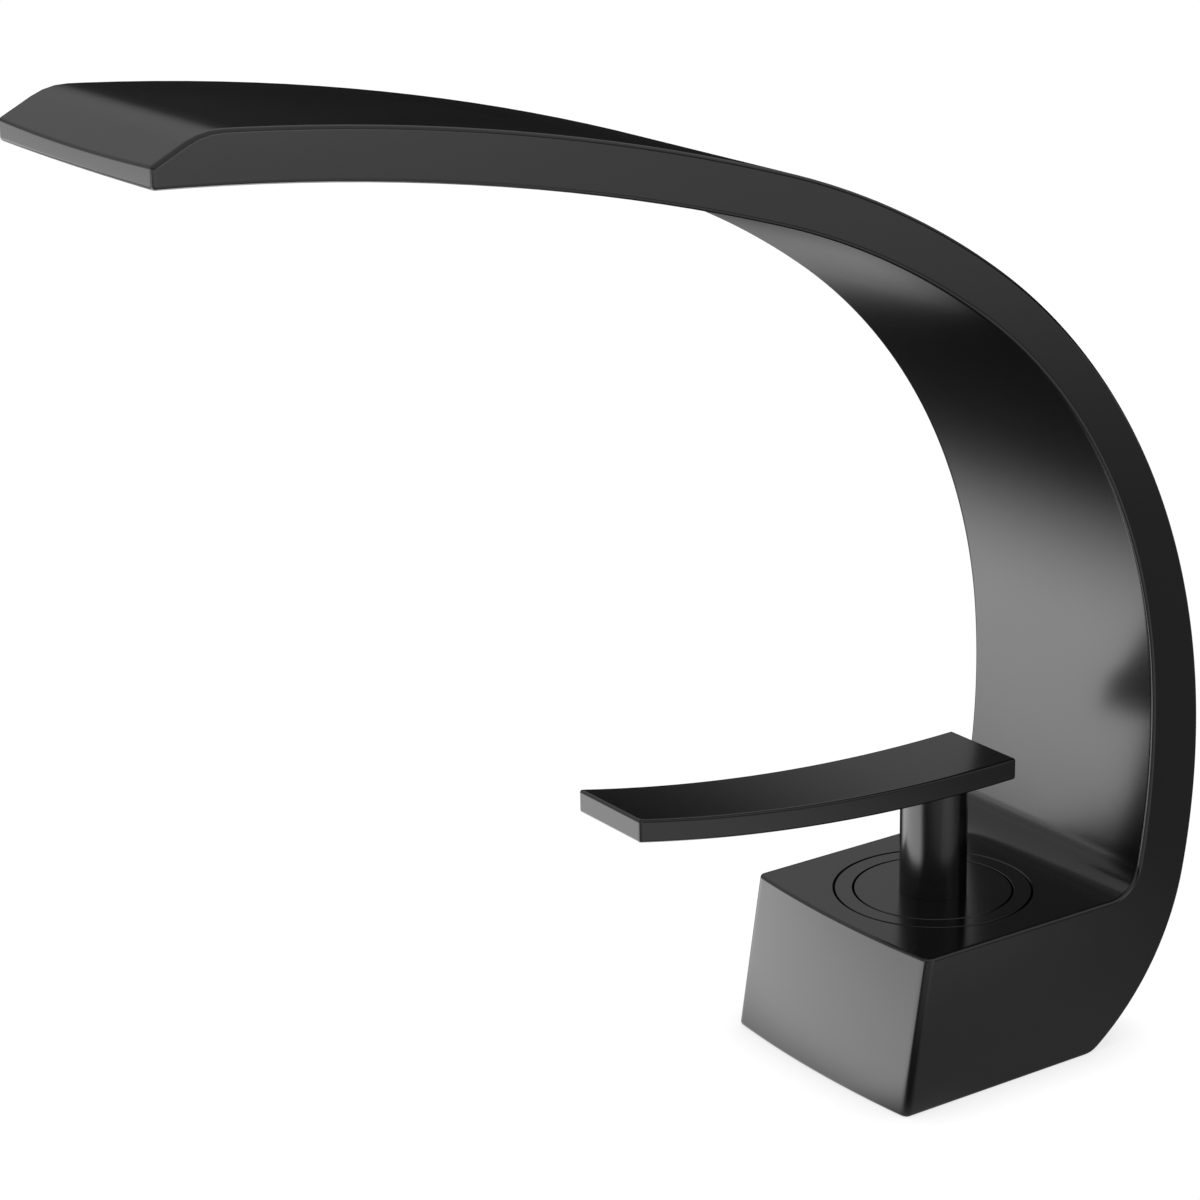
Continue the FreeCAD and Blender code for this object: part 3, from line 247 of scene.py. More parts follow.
def turned(name, corners, material, steps=128, step=radians(3)):
    """A solid of revolution about Z from a closed outline of radii and heights in millimetres."""
    points, _, _ = trace(corners, step, radians(15))
    count = len(points)
    vertices, faces = [], []
    for number in range(steps):
        angle = 2 * pi * number / steps
        vertices += [(r * cos(angle) * MM, r * sin(angle) * MM, z * MM) for r, z in points]
    for number in range(steps):
        near, far = number * count, (number + 1) % steps * count
        for index in range(count):
            after = (index + 1) % count
            faces.append((near + index, far + index, far + after, near + after))
    piece = new_object(name, mesh_of(name, vertices, faces))
    piece.data.materials.append(material)
    return piece


def block(name, size, material, centre=(0, 0, 0)):
    """A box in millimetres."""
    work = bmesh.new()
    bmesh.ops.create_cube(work, size=1)
    for vertex in work.verts:
        vertex.co = [(vertex.co[i] * size[i] + centre[i]) * MM for i in range(3)]
    mesh = bpy.data.meshes.new(name)
    work.to_mesh(mesh)
    work.free()
    piece = new_object(name, mesh)
    mesh.materials.append(material)
    return piece


def bevelled(piece, width):
    """Round a piece's edges, in millimetres."""
    bevel = piece.modifiers.new("Bevel", "BEVEL")
    bevel.width = width * MM
    bevel.segments = 3
    bevel.limit_method = "ANGLE"
    bevel.angle_limit = BEVEL_ANGLE
    return settle(piece)


def placed(piece, matrix):
    piece.data.transform(matrix)
    return piece


# Node trees.


class Wire:
    """A socket of a node tree that can be used in sums."""

    def __init__(self, tree, socket):
        self.tree = tree
        self.socket = socket

    def math(self, operation, *others):
        node = self.tree.nodes.new("ShaderNodeMath")
        node.operation = operation
        for place, value in enumerate((self, *others)):
            plug(self.tree, node.inputs[place], value)
        return Wire(self.tree, node.outputs[0])

    def __add__(self, other):
        return self.math("ADD", other)

    def __sub__(self, other):
        return self.math("SUBTRACT", other)

    def __mul__(self, other):
        return self.math("MULTIPLY", other)

    def __truediv__(self, other):
        return self.math("DIVIDE", other)


def plug(tree, socket, value):
    """Link a wire or a socket to a node's input, or set the input's own value."""
    if isinstance(value, Wire):
        value = value.socket
    if isinstance(value, bpy.types.NodeSocket):
        tree.links.new(value, socket)
    elif value is not None:
        socket.default_value = value


def add_node(tree, kind, inputs=None, output=0, **settings):
    """A node with its settings and inputs. Returns the wire of one output."""
    node = tree.nodes.new(kind)
    for name, value in settings.items():
        setattr(node, name, value)
    for name, value in (inputs or {}).items():
        plug(tree, node.inputs[name], value)
    return Wire(tree, node.outputs[output])


def group_tree(name, kind, inputs, outputs):
    """A node group with named inputs and outputs."""
    tree = bpy.data.node_groups.new(name, kind)
    for label, socket, default in inputs:
        made = tree.interface.new_socket(label, in_out="INPUT", socket_type=socket)
        if default is not None:
            made.default_value = default
    for label, socket in outputs:
        tree.interface.new_socket(label, in_out="OUTPUT", socket_type=socket)
    entry = tree.nodes.new("NodeGroupInput")
    leave = tree.nodes.new("NodeGroupOutput")
    given = {socket.name: Wire(tree, socket) for socket in entry.outputs if socket.name}
    return tree, given, leave


def eased(tree, value, start, finish, low, high):
    """A soft step from one value to another."""
    if start > finish:
        start, finish, low, high = finish, start, high, low
    return add_node(
        tree,
        "ShaderNodeMapRange",
        {"Value": value, "From Min": start, "From Max": finish, "To Min": low, "To Max": high},
        interpolation_type="SMOOTHSTEP",
    )


def lay_out(tree):
    """Spread a tree's nodes over a grid."""
    for number, node in enumerate(tree.nodes):
        node.location = (220 * (number % 12), -260 * (number // 12))


def set_input(modifier, name, value):
    """Set a Geometry Nodes modifier's input by its socket's identifier."""
    for item in modifier.node_group.interface.items_tree:
        if item.item_type == "SOCKET" and item.in_out == "INPUT" and item.name == name:
            modifier[item.identifier] = value
            return
    raise RuntimeError(f"{modifier.node_group.name} has no input named {name}")


def added(tree, first, second):
    """The sum of two vectors."""
    return add_node(tree, "ShaderNodeVectorMath", {0: first, 1: second}, operation="ADD")


def close_tree(tree, leave, shape, material):
    """End a Geometry Nodes tree in Realize Instances and Set Material."""
    real = add_node(tree, "GeometryNodeRealizeInstances", {"Geometry": shape})
    made = add_node(tree, "GeometryNodeSetMaterial", {"Geometry": real, "Material": material})
    plug(tree, leave.inputs[0], made)
    lay_out(tree)
    return tree


FLOAT, COUNT, STUFF = "NodeSocketFloat", "NodeSocketInt", "NodeSocketMaterial"
SHAPE = "NodeSocketGeometry"


def blade_tree():
    """Sweeps an outline across a width, with rounded edges and bowed ends.

    The outline lies in the XY plane. Its points carry three vectors: inward, which points into the
    metal, and front and tip, which say which way the bowed faces slide."""
    tree, given, leave = group_tree(
        "Blade across a width",
        "GeometryNodeTree",
        [
            ("Outline", SHAPE, None),
            ("Width", FLOAT, 0.05),
            ("Edge Radius", FLOAT, 0.0007),
            ("Corner Radius", FLOAT, 0.002),
            ("Front Bow Radius", FLOAT, 0.215),
            ("Tip Bow Radius", FLOAT, 0.52),
            ("Stations", COUNT, 41),
            ("Material", STUFF, None),
        ],
        [("Blade", SHAPE)],
    )
    half = given["Width"] / 2
    stations = given["Stations"]

    def inset_at(across, radius):
        """How far a rounded edge has dropped at a place across the width."""
        into = (across - (half - radius)).math("MAXIMUM", 0)
        left = (radius * radius - into * into).math("MAXIMUM", 0)
        return radius - left.math("SQRT")

    def bow_at(across, radius):
        return radius - (radius * radius - across * across).math("SQRT")

    def moved(start, inward, front, tip, away):
        """Where a point of the outline lands at a distance from the middle."""
        rounded = inset_at(away, given["Corner Radius"])
        terms = [
            (inward, inset_at(away, given["Edge Radius"])),
            (front, bow_at(away, given["Front Bow Radius"]) + rounded),
            (tip, bow_at(away, given["Tip Bow Radius"])),
        ]
        place = start
        for direction, amount in terms:
            scaling = {0: direction, "Scale": amount}
            scaled = add_node(tree, "ShaderNodeVectorMath", scaling, operation="SCALE")
            place = added(tree, place, scaled)
        return place

    def named(name):
        kind = "GeometryNodeInputNamedAttribute"
        return add_node(tree, kind, {"Name": name}, data_type="FLOAT_VECTOR")

    position = add_node(tree, "GeometryNodeInputPosition")
    count = add_node(tree, "GeometryNodeAttributeDomainSize", {"Geometry": given["Outline"]})
    index = add_node(tree, "GeometryNodeInputIndex")
    station = index.math("MODULO", stations)
    corner = (index / stations).math("FLOOR").math("MODULO", count)

    def sampled(value):
        return add_node(
            tree,
            "GeometryNodeSampleIndex",
            {"Geometry": given["Outline"], "Value": value, "Index": corner},
            data_type="FLOAT_VECTOR",
        )

    # The stations lie closer together towards the ends.
    share = station / (stations - 1) * 2 - 1
    from_end = share.math("ABSOLUTE") * -1 + 1
    away = half * (from_end.math("POWER", 4) * -1 + 1)
    guides = [named("inward"), named("front"), named("tip")]
    place = moved(sampled(position), *[sampled(guide) for guide in guides], away)
    across = add_node(tree, "ShaderNodeCombineXYZ", {"Z": away * share.math("SIGN")})
    grid = add_node(tree, "GeometryNodeMeshGrid", {"Vertices X": count + 1, "Vertices Y": stations})
    skin = add_node(
        tree,
        "GeometryNodeSetPosition",
        {"Geometry": grid, "Position": added(tree, place, across)},
    )
    rim = add_node(
        tree,
        "GeometryNodeSetPosition",
        {"Geometry": given["Outline"], "Position": moved(position, *guides, half)},
    )
    rim_curve = add_node(tree, "GeometryNodeMeshToCurve", {"Mesh": rim})
    cap = add_node(tree, "GeometryNodeFillCurve", {"Curve": rim_curve}, mode="NGONS")
    joined = tree.nodes.new("GeometryNodeJoinGeometry")
    tree.links.new(skin.socket, joined.inputs[0])
    for sign in (-1, 1):
        offset = add_node(tree, "ShaderNodeCombineXYZ", {"Z": half * sign})
        moved_cap = {"Geometry": cap, "Translation": offset}
        end = add_node(tree, "GeometryNodeTransform", moved_cap)
        tree.links.new(end.socket, joined.inputs[0])
    standing = {"Geometry": Wire(tree, joined.outputs[0]), "Rotation": Euler((pi / 2, 0, pi / 2))}
    upright = add_node(tree, "GeometryNodeTransform", standing)
    joining = {"Geometry": upright, "Distance": JOIN_DISTANCE}
    merged = add_node(tree, "GeometryNodeMergeByDistance", joining)
    return close_tree(tree, leave, merged, given["Material"])


def pattern_tree():
    """Rows of one small box, all alike, for slots and cells that are cut through a plate."""
    tree, given, leave = group_tree(
        "Rows of openings",
        "GeometryNodeTree",
        [
            ("Openings", SHAPE, None),
            ("Across", COUNT, 10),
            ("Along", COUNT, 1),
            ("Pitch Across", FLOAT, 0.0018),
            ("Pitch Along", FLOAT, 0.0019),
            ("Length", FLOAT, 0.0009),
            ("Width", FLOAT, 0.0068),
            ("Depth", FLOAT, 0.004),
            ("Material", STUFF, None),
        ],
        [("Openings", SHAPE)],
    )
    rows = add_node(
        tree,
        "GeometryNodeMeshGrid",
        {
            "Size X": given["Pitch Across"] * (given["Across"] - 1),
            "Size Y": given["Pitch Along"] * (given["Along"] - 1) + JOIN_DISTANCE,
            "Vertices X": given["Across"],
            "Vertices Y": given["Along"],
        },
    )
    spots = add_node(tree, "GeometryNodeMeshToPoints", {"Mesh": rows})
    sides = {"X": given["Length"], "Y": given["Width"], "Z": given["Depth"]}
    size = add_node(tree, "ShaderNodeCombineXYZ", sides)
    box = add_node(tree, "GeometryNodeMeshCube", {"Size": size})
    spread = add_node(tree, "GeometryNodeInstanceOnPoints", {"Points": spots, "Instance": box})
    return close_tree(tree, leave, spread, given["Material"])


def shaped(name, mesh, tree, **inputs):
    """A plain mesh object made by a Geometry Nodes tree from a starting mesh."""
    piece = new_object(name, mesh)
    modifier = piece.modifiers.new(tree.name, "NODES")
    modifier.node_group = tree
    for label, value in inputs.items():
        set_input(modifier, label.replace("_", " "), value)
    return settle(piece)


def outline_mesh(name, points, inward, front=None, tip=None):
    """A closed outline in the XY plane, in metres, with the vectors that the blade tree reads."""
    count = len(points)
    flat = np.zeros((count, 3), np.float32)
    flat[:, :2] = points * MM
    mesh = mesh_of(name, flat, [], [(index, (index + 1) % count) for index in range(count)])
    for label, vectors in (("inward", inward), ("front", front), ("tip", tip)):
        filled = np.zeros((count, 3), np.float32)
        if vectors is not None:
            filled[:, :2] = vectors
        attribute = mesh.attributes.new(label, "FLOAT_VECTOR", "POINT")
        attribute.data.foreach_set("vector", filled.ravel())
    return mesh


# Surfaces. The groups put out masks and heights, and each material keeps its own shader.


def object_place(tree):
    return add_node(tree, "ShaderNodeTexCoord", output="Object")


def grain_group():
    """A fine, even grain such as sprayed or moulded surfaces have."""
    tree, given, leave = group_tree(
        "Fine grain",
        "ShaderNodeTree",
        [("Scale", FLOAT, 1800.0), ("Patch Scale", FLOAT, 60.0), ("Patch Share", FLOAT, 0.4)],
        [("Mask", FLOAT), ("Height", FLOAT)],
    )
    place = object_place(tree)
    fine = add_node(
        tree, "ShaderNodeTexNoise", {"Vector": place, "Scale": given["Scale"], "Detail": 3.0}
    )
    patches = add_node(
        tree, "ShaderNodeTexNoise", {"Vector": place, "Scale": given["Patch Scale"], "Detail": 2.0}
    )
    share = given["Patch Share"]
    plug(tree, leave.inputs["Mask"], fine * (share * -1 + 1) + patches * share)
    plug(tree, leave.inputs["Height"], fine)
    lay_out(tree)
    return tree


def turning_group():
    """Fine rings round the Z axis, as a lathe or a brush leaves them on a turned piece."""
    tree, given, leave = group_tree(
        "Turning marks",
        "ShaderNodeTree",
        [("Scale", FLOAT, 9000.0), ("Break Up", FLOAT, 0.35)],
        [("Mask", FLOAT), ("Height", FLOAT)],
    )
    place = object_place(tree)
    split = tree.nodes.new("ShaderNodeSeparateXYZ")
    plug(tree, split.inputs[0], place)
    across, along, up = (Wire(tree, split.outputs[axis]) for axis in range(3))
    radius = (across * across + along * along).math("SQRT")
    rings = add_node(
        tree,
        "ShaderNodeTexNoise",
        {"W": (radius + up) * given["Scale"], "Scale": 1.0, "Detail": 2.0},
        noise_dimensions="1D",
    )
    worn = add_node(tree, "ShaderNodeTexNoise", {"Vector": place, "Scale": 300.0, "Detail": 2.0})
    mixed = rings * (given["Break Up"] * -1 + 1) + worn * given["Break Up"]
    plug(tree, leave.inputs["Mask"], mixed)
    plug(tree, leave.inputs["Height"], rings)
    lay_out(tree)
    return tree


def handling_group():
    """Soft smears and specks that change the gloss a little."""
    tree, given, leave = group_tree(
        "Handling marks",
        "ShaderNodeTree",
        [("Smear Scale", FLOAT, 22.0), ("Speck Scale", FLOAT, 900.0), ("Speck Share", FLOAT, 0.25)],
        [("Mask", FLOAT)],
    )
    place = object_place(tree)
    smear = add_node(
        tree,
        "ShaderNodeTexNoise",
        {"Vector": place, "Scale": given["Smear Scale"], "Detail": 4.0, "Distortion": 1.2},
    )
    cells = add_node(
        tree, "ShaderNodeTexVoronoi", {"Vector": place, "Scale": given["Speck Scale"]}
    )
    specks = (cells * -1 + 0.25).math("MAXIMUM", 0) * given["Speck Share"]
    plug(tree, leave.inputs["Mask"], (smear - 0.5).math("MULTIPLY_ADD", 1.6, 0.5) + specks)
    lay_out(tree)
    return tree


GROUPS = {}


def shared(name):
    """The shared group of that name, built once."""
    makers = {"grain": grain_group, "turning": turning_group, "handling": handling_group}
    if name not in GROUPS:
        GROUPS[name] = makers[name]()
    return GROUPS[name]


def use_group(tree, name, **values):
    node = tree.nodes.new("ShaderNodeGroup")
    node.node_tree = shared(name)
    for label, value in values.items():
        node.inputs[label.replace("_", " ")].default_value = value
    return {socket.name: Wire(tree, socket) for socket in node.outputs}


def surface(
    name,
    low,
    high,
    roughness,
    spread,
    texture="grain",
    scale=1800.0,
    depth=0.000004,
    metallic=0.0,
    ior=1.5,
    coat=0.0,
    coat_roughness=0.1,
    smears=0.02,
):
    """A material whose colour, gloss and relief all vary over the surface."""
    material = bpy.data.materials.new(name)
    material.use_nodes = True
    tree = material.node_tree
    tree.nodes.clear()
    leave = tree.nodes.new("ShaderNodeOutputMaterial")
    shader = tree.nodes.new("ShaderNodeBsdfPrincipled")
    shader.inputs["Metallic"].default_value = metallic
    shader.inputs["IOR"].default_value = ior
    shader.inputs["Coat Weight"].default_value = coat
    shader.inputs["Coat Roughness"].default_value = coat_roughness
    detail = use_group(tree, texture, Scale=scale)
    marks = use_group(tree, "handling")
    colour = tree.nodes.new("ShaderNodeMix")
    colour.data_type = "RGBA"
    plug(tree, colour.inputs["Factor"], detail["Mask"])
    colour.inputs[6].default_value = (*low, 1)
    colour.inputs[7].default_value = (*high, 1)
    tree.links.new(colour.outputs[2], shader.inputs["Base Color"])
    rough = (detail["Mask"] - 0.5) * spread + (marks["Mask"] - 0.5) * smears + roughness
    plug(tree, shader.inputs["Roughness"], rough)
    relief = {"Height": detail["Height"], "Distance": depth, "Strength": 1.0}
    bump = add_node(tree, "ShaderNodeBump", relief)
    plug(tree, shader.inputs["Normal"], bump)
    tree.links.new(shader.outputs[0], leave.inputs[0])
    lay_out(tree)
    return material


# How each finish differs from a plain surface. The two coats take their colour and gloss from
# the panel, and their shades say how far that colour varies.
FINISH_LOOKS = {
    "black_coat": {"shades": (0.85, 1.15), "spread": 0.05, "scale": 2600.0, "depth": 0.0000012},
    "turned_black": {
        "shades": (0.8, 1.2), "spread": 0.06,
        "texture": "turning", "scale": 7000.0, "depth": 0.0000008,
    },
    "cast_brass": {
        "low": (0.42, 0.27, 0.09), "high": (0.56, 0.38, 0.15), "roughness": 0.33, "spread": 0.2,
        "texture": "turning", "scale": 5000.0, "depth": 0.000003, "metallic": 1.0, "smears": 0.15,
    },
    "stainless": {
        "low": (0.42, 0.42, 0.41), "high": (0.56, 0.56, 0.55), "roughness": 0.3, "spread": 0.16,
        "texture": "turning", "scale": 9000.0, "depth": 0.000002, "metallic": 1.0, "smears": 0.1,
    },
    "rubber": {
        "low": (0.012, 0.012, 0.012), "high": (0.03, 0.03, 0.03), "roughness": 0.72, "spread": 0.2,
        "scale": 2400.0, "depth": 0.000012, "smears": 0.08,
    },
    "white_plastic": {
        "low": (0.55, 0.55, 0.52), "high": (0.66, 0.66, 0.63), "roughness": 0.42, "spread": 0.12,
        "scale": 3000.0, "depth": 0.000004, "smears": 0.06,
    },
    "grey_plastic": {
        "low": (0.12, 0.13, 0.14), "high": (0.17, 0.18, 0.19), "roughness": 0.45, "spread": 0.14,
        "scale": 3000.0, "depth": 0.000005, "smears": 0.06,
    },
    "black_plastic": {
        "low": (0.014, 0.014, 0.015), "high": (0.026, 0.026, 0.027), "roughness": 0.48,
        "spread": 0.16, "scale": 3500.0, "depth": 0.000006, "smears": 0.05,
    },
    "ceramic": {
        "low": (0.72, 0.71, 0.68), "high": (0.82, 0.81, 0.79), "roughness": 0.18, "spread": 0.06,
        "scale": 5000.0, "depth": 0.0000006, "coat": 0.5, "coat_roughness": 0.05,
    },
}
FINISHES = {}


def finish(name):
    """The finish of that name, made once."""
    if name not in FINISHES:
        values = dict(FINISH_LOOKS[name])
        shades = values.pop("shades", None)
        if shades:
            look = bpy.context.scene.mixer_look
            low, high = ([part * shade for part in look.coat_colour] for shade in shades)
            values.update(low=low, high=high, roughness=look.coat_roughness, ior=look.coat_ior)
        FINISHES[name] = surface(name, **values)
    return FINISHES[name]


# Sizes and colours that a user would change.


def box_size(node, axis):
    low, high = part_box(node)
    return high[axis] - low[axis]


def length(name, description, default):
    """A property for a length, in metres."""
    return bpy.props.FloatProperty(
        name=name, description=description, default=default, unit="LENGTH"
    )


class MixerSizes(bpy.types.PropertyGroup):
    """Sizes of the visible pieces."""

    body_width: length(
        "Body width", "Width of the base, the neck and the spout", box_size("faucet_body", 0)
    )
    body_edge: length(
        "Body edge rounding", "Rounding along the edges of the casting", 0.7 * MM
    )
    body_corner: length(
        "Front corner rounding", "Rounding of the upright corners at the front", 1.5 * MM
    )
    front_bow: length("Front bow radius", "Plan radius of the bowed front of the base", 215 * MM)
    tip_bow: length("Tip bow radius", "Plan radius of the bowed end of the spout", 520 * MM)
    lever_width: length("Lever width", "Width of the lever plate", box_size("lever_plate", 0))
    lever_edge: length("Lever edge rounding", "Rounding along the edges of the lever", 0.5 * MM)
    post_radius: length("Post radius", "Radius of the handle post", box_size("handle_post", 0) / 2)
    slot_count: bpy.props.IntProperty(
        name="Outlet slots",
        description="Number of slots in the outlet plate",
        default=10,
        min=1,
    )


class MixerLook(bpy.types.PropertyGroup):
    """Colours and gloss of the finish, and the studio's brightness."""

    coat_colour: bpy.props.FloatVectorProperty(
        name="Coat colour",
        description="Colour of the satin coat",
        default=(0.004, 0.004, 0.0042),
        subtype="COLOR",
        min=0,
        max=1,
    )
    coat_roughness: bpy.props.FloatProperty(
        name="Coat roughness",
        description="How far the coat spreads its reflections",
        default=0.2,
        min=0,
        max=1,
        subtype="FACTOR",
    )
    coat_ior: bpy.props.FloatProperty(
        name="Coat index",
        description="Index of refraction of the coat",
        default=1.7,
        min=1,
        max=3,
    )
    floor_colour: bpy.props.FloatVectorProperty(
        name="Floor colour",
        description="Colour in which the floor is seen",
        default=(1.0, 1.0, 1.0),
        subtype="COLOR",
        min=0,
        max=1,
    )
    light_strength: bpy.props.FloatProperty(
        name="Studio light",
        description="Brightness of the studio's lamp",
        default=1.0,
        min=0,
    )


# All sizes below are in millimetres. Levels are above the deck, and Y runs towards the back.

# Casting, outside. The bends at the top of the file belong to it too.
BASE_TOP = 29.5
FRONT_TOP = -23.3
FRONT_FOOT = -28.2
HEEL_ROUND = 5.0
THROAT_ROUND = 6.5
CORNER_ROUND = 0.7
SPOUT_END = -165.6
SLOPE_LENGTH = 9.0
SLOPE_DROP = 4.6
SLOPE_ROUND = 12.0

# Casting, inside. A cut runs past the face that it opens.
CUT_MARGIN = 1.0
POCKET_FLOOR = BASE_TOP - 21.5
POCKET_RADIUS = 13.395
NUT_FOOT = 12.4
NUT_RADIUS = POCKET_RADIUS + 2.6
RING_FOOT = 19.2
MOUTH_CHAMFER = 0.15
SEAL_BACK = -5.0
SEAL_RADII = (19.0, 21.0)
SEAL_HEIGHT = 1.6
# Holes up from the deck: name, radius, depth, pitch of the thread, and place.
DECK_HOLES = [
    ("left_inlet", 4.5, 6.4, 1.0, (-6.4, -5.1)),
    ("right_inlet", 4.5, 6.4, 1.0, (6.4, -5.1)),
    ("stud_hole", 3.4, 10.5, 1.25, (0, -19.0)),
]
THREAD_LEAD = 0.5
THREAD_SHARE = 0.45

# Cover ring and ball segment.
LIFT_AXIS = BASE_TOP - 5.0
DISC_RADIUS = 14.6
BALL_RADIUS = 15.432
SEAT_RADIUS = BALL_RADIUS + 0.3
RING_RADIUS = SEAT_RADIUS + 2.5
RING_BORE = RING_RADIUS + 0.3
RING_STEP = BASE_TOP - 4.0
O_RING_FOOT, O_RING_TOP, O_RING_INSIDE = 20.5, 21.8, 17.432
BALL_SKIRT = 0.7
BALL_WALL = 2.8
BALL_ROOF = 2.4
HUB_RADIUS = 7.2
HUB_DEPTH = 3.3
PIN_RADIUS, PIN_REACH = 1.3, 18.0

# Post and lever.
SPINDLE_RADIUS = 4.0
SPIGOT_RADIUS = SPINDLE_RADIUS + 1.4
POST_FOOT = BASE_TOP - 3.2
LEVER_LOW_PLACE = 3.6
LEVER_LOW = BASE_TOP + 25.7
LEVER_RADIUS = 359.4
LEVER_THICKNESS = 4.1
LEVER_FRONT, LEVER_REAR = -72.6, 11.8
LEVER_SEAT = LEVER_LOW - LEVER_THICKNESS + 0.5
SEAT_CUT_FOOT = 45.0
SCREW_RADIUS, SCREW_LAND, SCREW_BITE = 2.0, 5.5, 2.4
GRUB_RADIUS, GRUB_UP = 2.5, BASE_TOP + 8.0
PLUG_GAP, PLUG_THICKNESS, PLUG_TRIM, PLUG_TRIM_LEVELS = 0.03, 0.8, 4.0, (30.0, 48.0)
LOCATOR_RADIUS, LOCATOR_PLACE, LOCATOR_REACH = 0.8, 4.2, 1.8

# Outlet. Its plate and straightener fit in their recesses with a small gap.
OUTLET_BACK = 15.0
PLATE_LENGTH, PLATE_WIDTH, PLATE_THICKNESS, PLATE_EDGE = 34.0, 11.0, 1.2, 0.2
MOUTH_LENGTH, MOUTH_WIDTH, MOUTH_DEPTH = 20.0, 7.0, 3.5
OUTLET_SEAL_WIDTH, OUTLET_SEAL_THICKNESS = 1.2, 0.5
STRAIGHTENER_THICKNESS = 1.4
PLATE_GAP, STRAIGHTENER_GAP = 0.02, 0.1
SLOT_WIDTH, SLOT_LENGTH, SLOT_PITCH = 0.9, 6.8, 1.8
CELL_WIDTH, CELL_PITCH, CELL_DEPTH, CELL_COLUMNS, CELL_ROWS = 1.4, 1.9, 8.0, 10, 3
SCREW_OFFSET, SCREW_LENGTH, SCREW_GAP = 14.4, 4.2, 0.02
HEAD_RADIUS, HEAD_HEIGHT, HEAD_CHAMFER, THREAD_RADIUS = 1.7, 0.8, 0.25, 0.9
CROSS_WIDTH, CROSS_LENGTH, CROSS_DEPTH = 0.35, 2.0, 0.55


def band(inside, outside, low, high, low_round=0, high_round=0):
    """Corners of a ring's section between two radii and two levels. A bar starts at radius 0."""
    return [
        (inside, low, low_round),
        (outside, low, low_round),
        (outside, high, high_round),
        (inside, high, high_round),
    ]


def on_bend(centre, radius, heading):
    angle = radians(heading)
    return centre[0] + radius * sin(angle), centre[1] - radius * cos(angle)


def next_centre(centre, radius, following, heading):
    return on_bend(centre, radius - following, heading)


def blade_bends():
    """Centre and radius of each outer and inner bend."""
    outer, inner = [], []
    outer_centre = inner_centre = FIRST_CENTRE
    for number, (radius, step, heading) in enumerate(BENDS):
        outer.append((outer_centre, radius))
        inner.append((inner_centre, radius - step))
        if heading is not None:
            following, following_step, _ = BENDS[number + 1]
            outer_centre = next_centre(outer_centre, radius, following, heading)
            inner_centre = next_centre(
                inner_centre, radius - step, following - following_step, heading
            )
    return outer, inner


def height_on(bend, back):
    (centre_back, centre_up), radius = bend
    return centre_up + sqrt(radius**2 - (back - centre_back) ** 2)


def casting_corners():
    """Side outline of the casting, from the heel up the outside, over the tip and back inside."""
    outer, inner = blade_bends()
    headings = [bend[2] for bend in BENDS[:-1]]
    (centre_back, centre_up), radius = outer[0]
    heel = centre_back + sqrt(radius**2 - centre_up**2)
    corners = [(heel, 0, HEEL_ROUND, outer[0][0])]
    for number, heading in enumerate(headings):
        corners.append((*on_bend(*outer[number], heading), None, outer[number + 1][0]))
    slope_top = SPOUT_END + SLOPE_LENGTH
    slope_up = height_on(outer[-1], slope_top)
    corners.append((slope_top, slope_up, SLOPE_ROUND))
    corners.append((SPOUT_END, slope_up - SLOPE_DROP, CORNER_ROUND))
    corners.append((SPOUT_END, height_on(inner[-1], SPOUT_END), CORNER_ROUND, inner[-1][0]))
    for number in range(len(headings), 1, -1):
        place = on_bend(*inner[number], headings[number - 1])
        corners.append((*place, None, inner[number - 1][0]))
    neck = on_bend(*inner[1], headings[0])
    corners.append((*neck, None))
    throat = neck[0] - (neck[1] - BASE_TOP) / tan(radians(headings[0]))
    corners.append((throat, BASE_TOP, THROAT_ROUND))
    corners.append((FRONT_TOP, BASE_TOP, CORNER_ROUND))
    corners.append((FRONT_FOOT, 0, CORNER_ROUND))
    return corners


# Numbers of the chains of sides in the casting's outline, where 0 is the outside of the blade.
SLOPE_CHAIN, END_CHAIN, UNDER_CHAIN, TOP_CHAIN, DECK_CHAIN = 1, 2, 3, 4, 6


def casting_outline():
    """The casting's outline with the vectors that bow its front and its tip."""
    points, inward, labels = trace(casting_corners(), radians(0.8))
    front, tip = np.zeros_like(points), np.zeros_like(points)
    last_on_top = np.flatnonzero(labels == TOP_CHAIN)[-1]
    first_on_deck = np.flatnonzero(labels == DECK_CHAIN)[0]
    bowed = np.arange(last_on_top, first_on_deck + 1)
    front[bowed, 0] = 1
    inward[bowed, 0] = 0
    inward[bowed, 1] *= np.abs(inward[bowed, 1])
    last_on_slope = np.flatnonzero(labels == SLOPE_CHAIN)[-1]
    end_face = np.flatnonzero(labels == END_CHAIN)
    first_under = np.flatnonzero(labels == UNDER_CHAIN)[0]
    for first, last, guide in (
        (last_on_slope, end_face[0], last_on_slope),
        (end_face[-1], first_under, first_under),
    ):
        rise = -inward[guide, 0] / inward[guide, 1]
        tip[first : last + 1] = (1, rise)
    return outline_mesh("casting", points, inward, front, tip)


def threaded_cutter(name, radius, depth, pitch, centre):
    """A round cutter with a thread's ridges, up from the deck."""
    corners = [(0, -CUT_MARGIN, 0), (radius + THREAD_LEAD, -CUT_MARGIN, 0), (radius, THREAD_LEAD, 0)]
    for number in range(int((depth - 2 * THREAD_LEAD) / pitch)):
        up = THREAD_LEAD + pitch * number
        corners.append((radius - THREAD_SHARE * pitch, up + pitch / 2, 0))
        corners.append((radius, up + pitch, 0))
    corners += [(radius, depth, 0), (0, depth, 0)]
    cutter = solid_turned(name, corners, finish("cast_brass"), 64)
    return placed(cutter, Matrix.Translation((centre[0] * MM, centre[1] * MM, 0)))


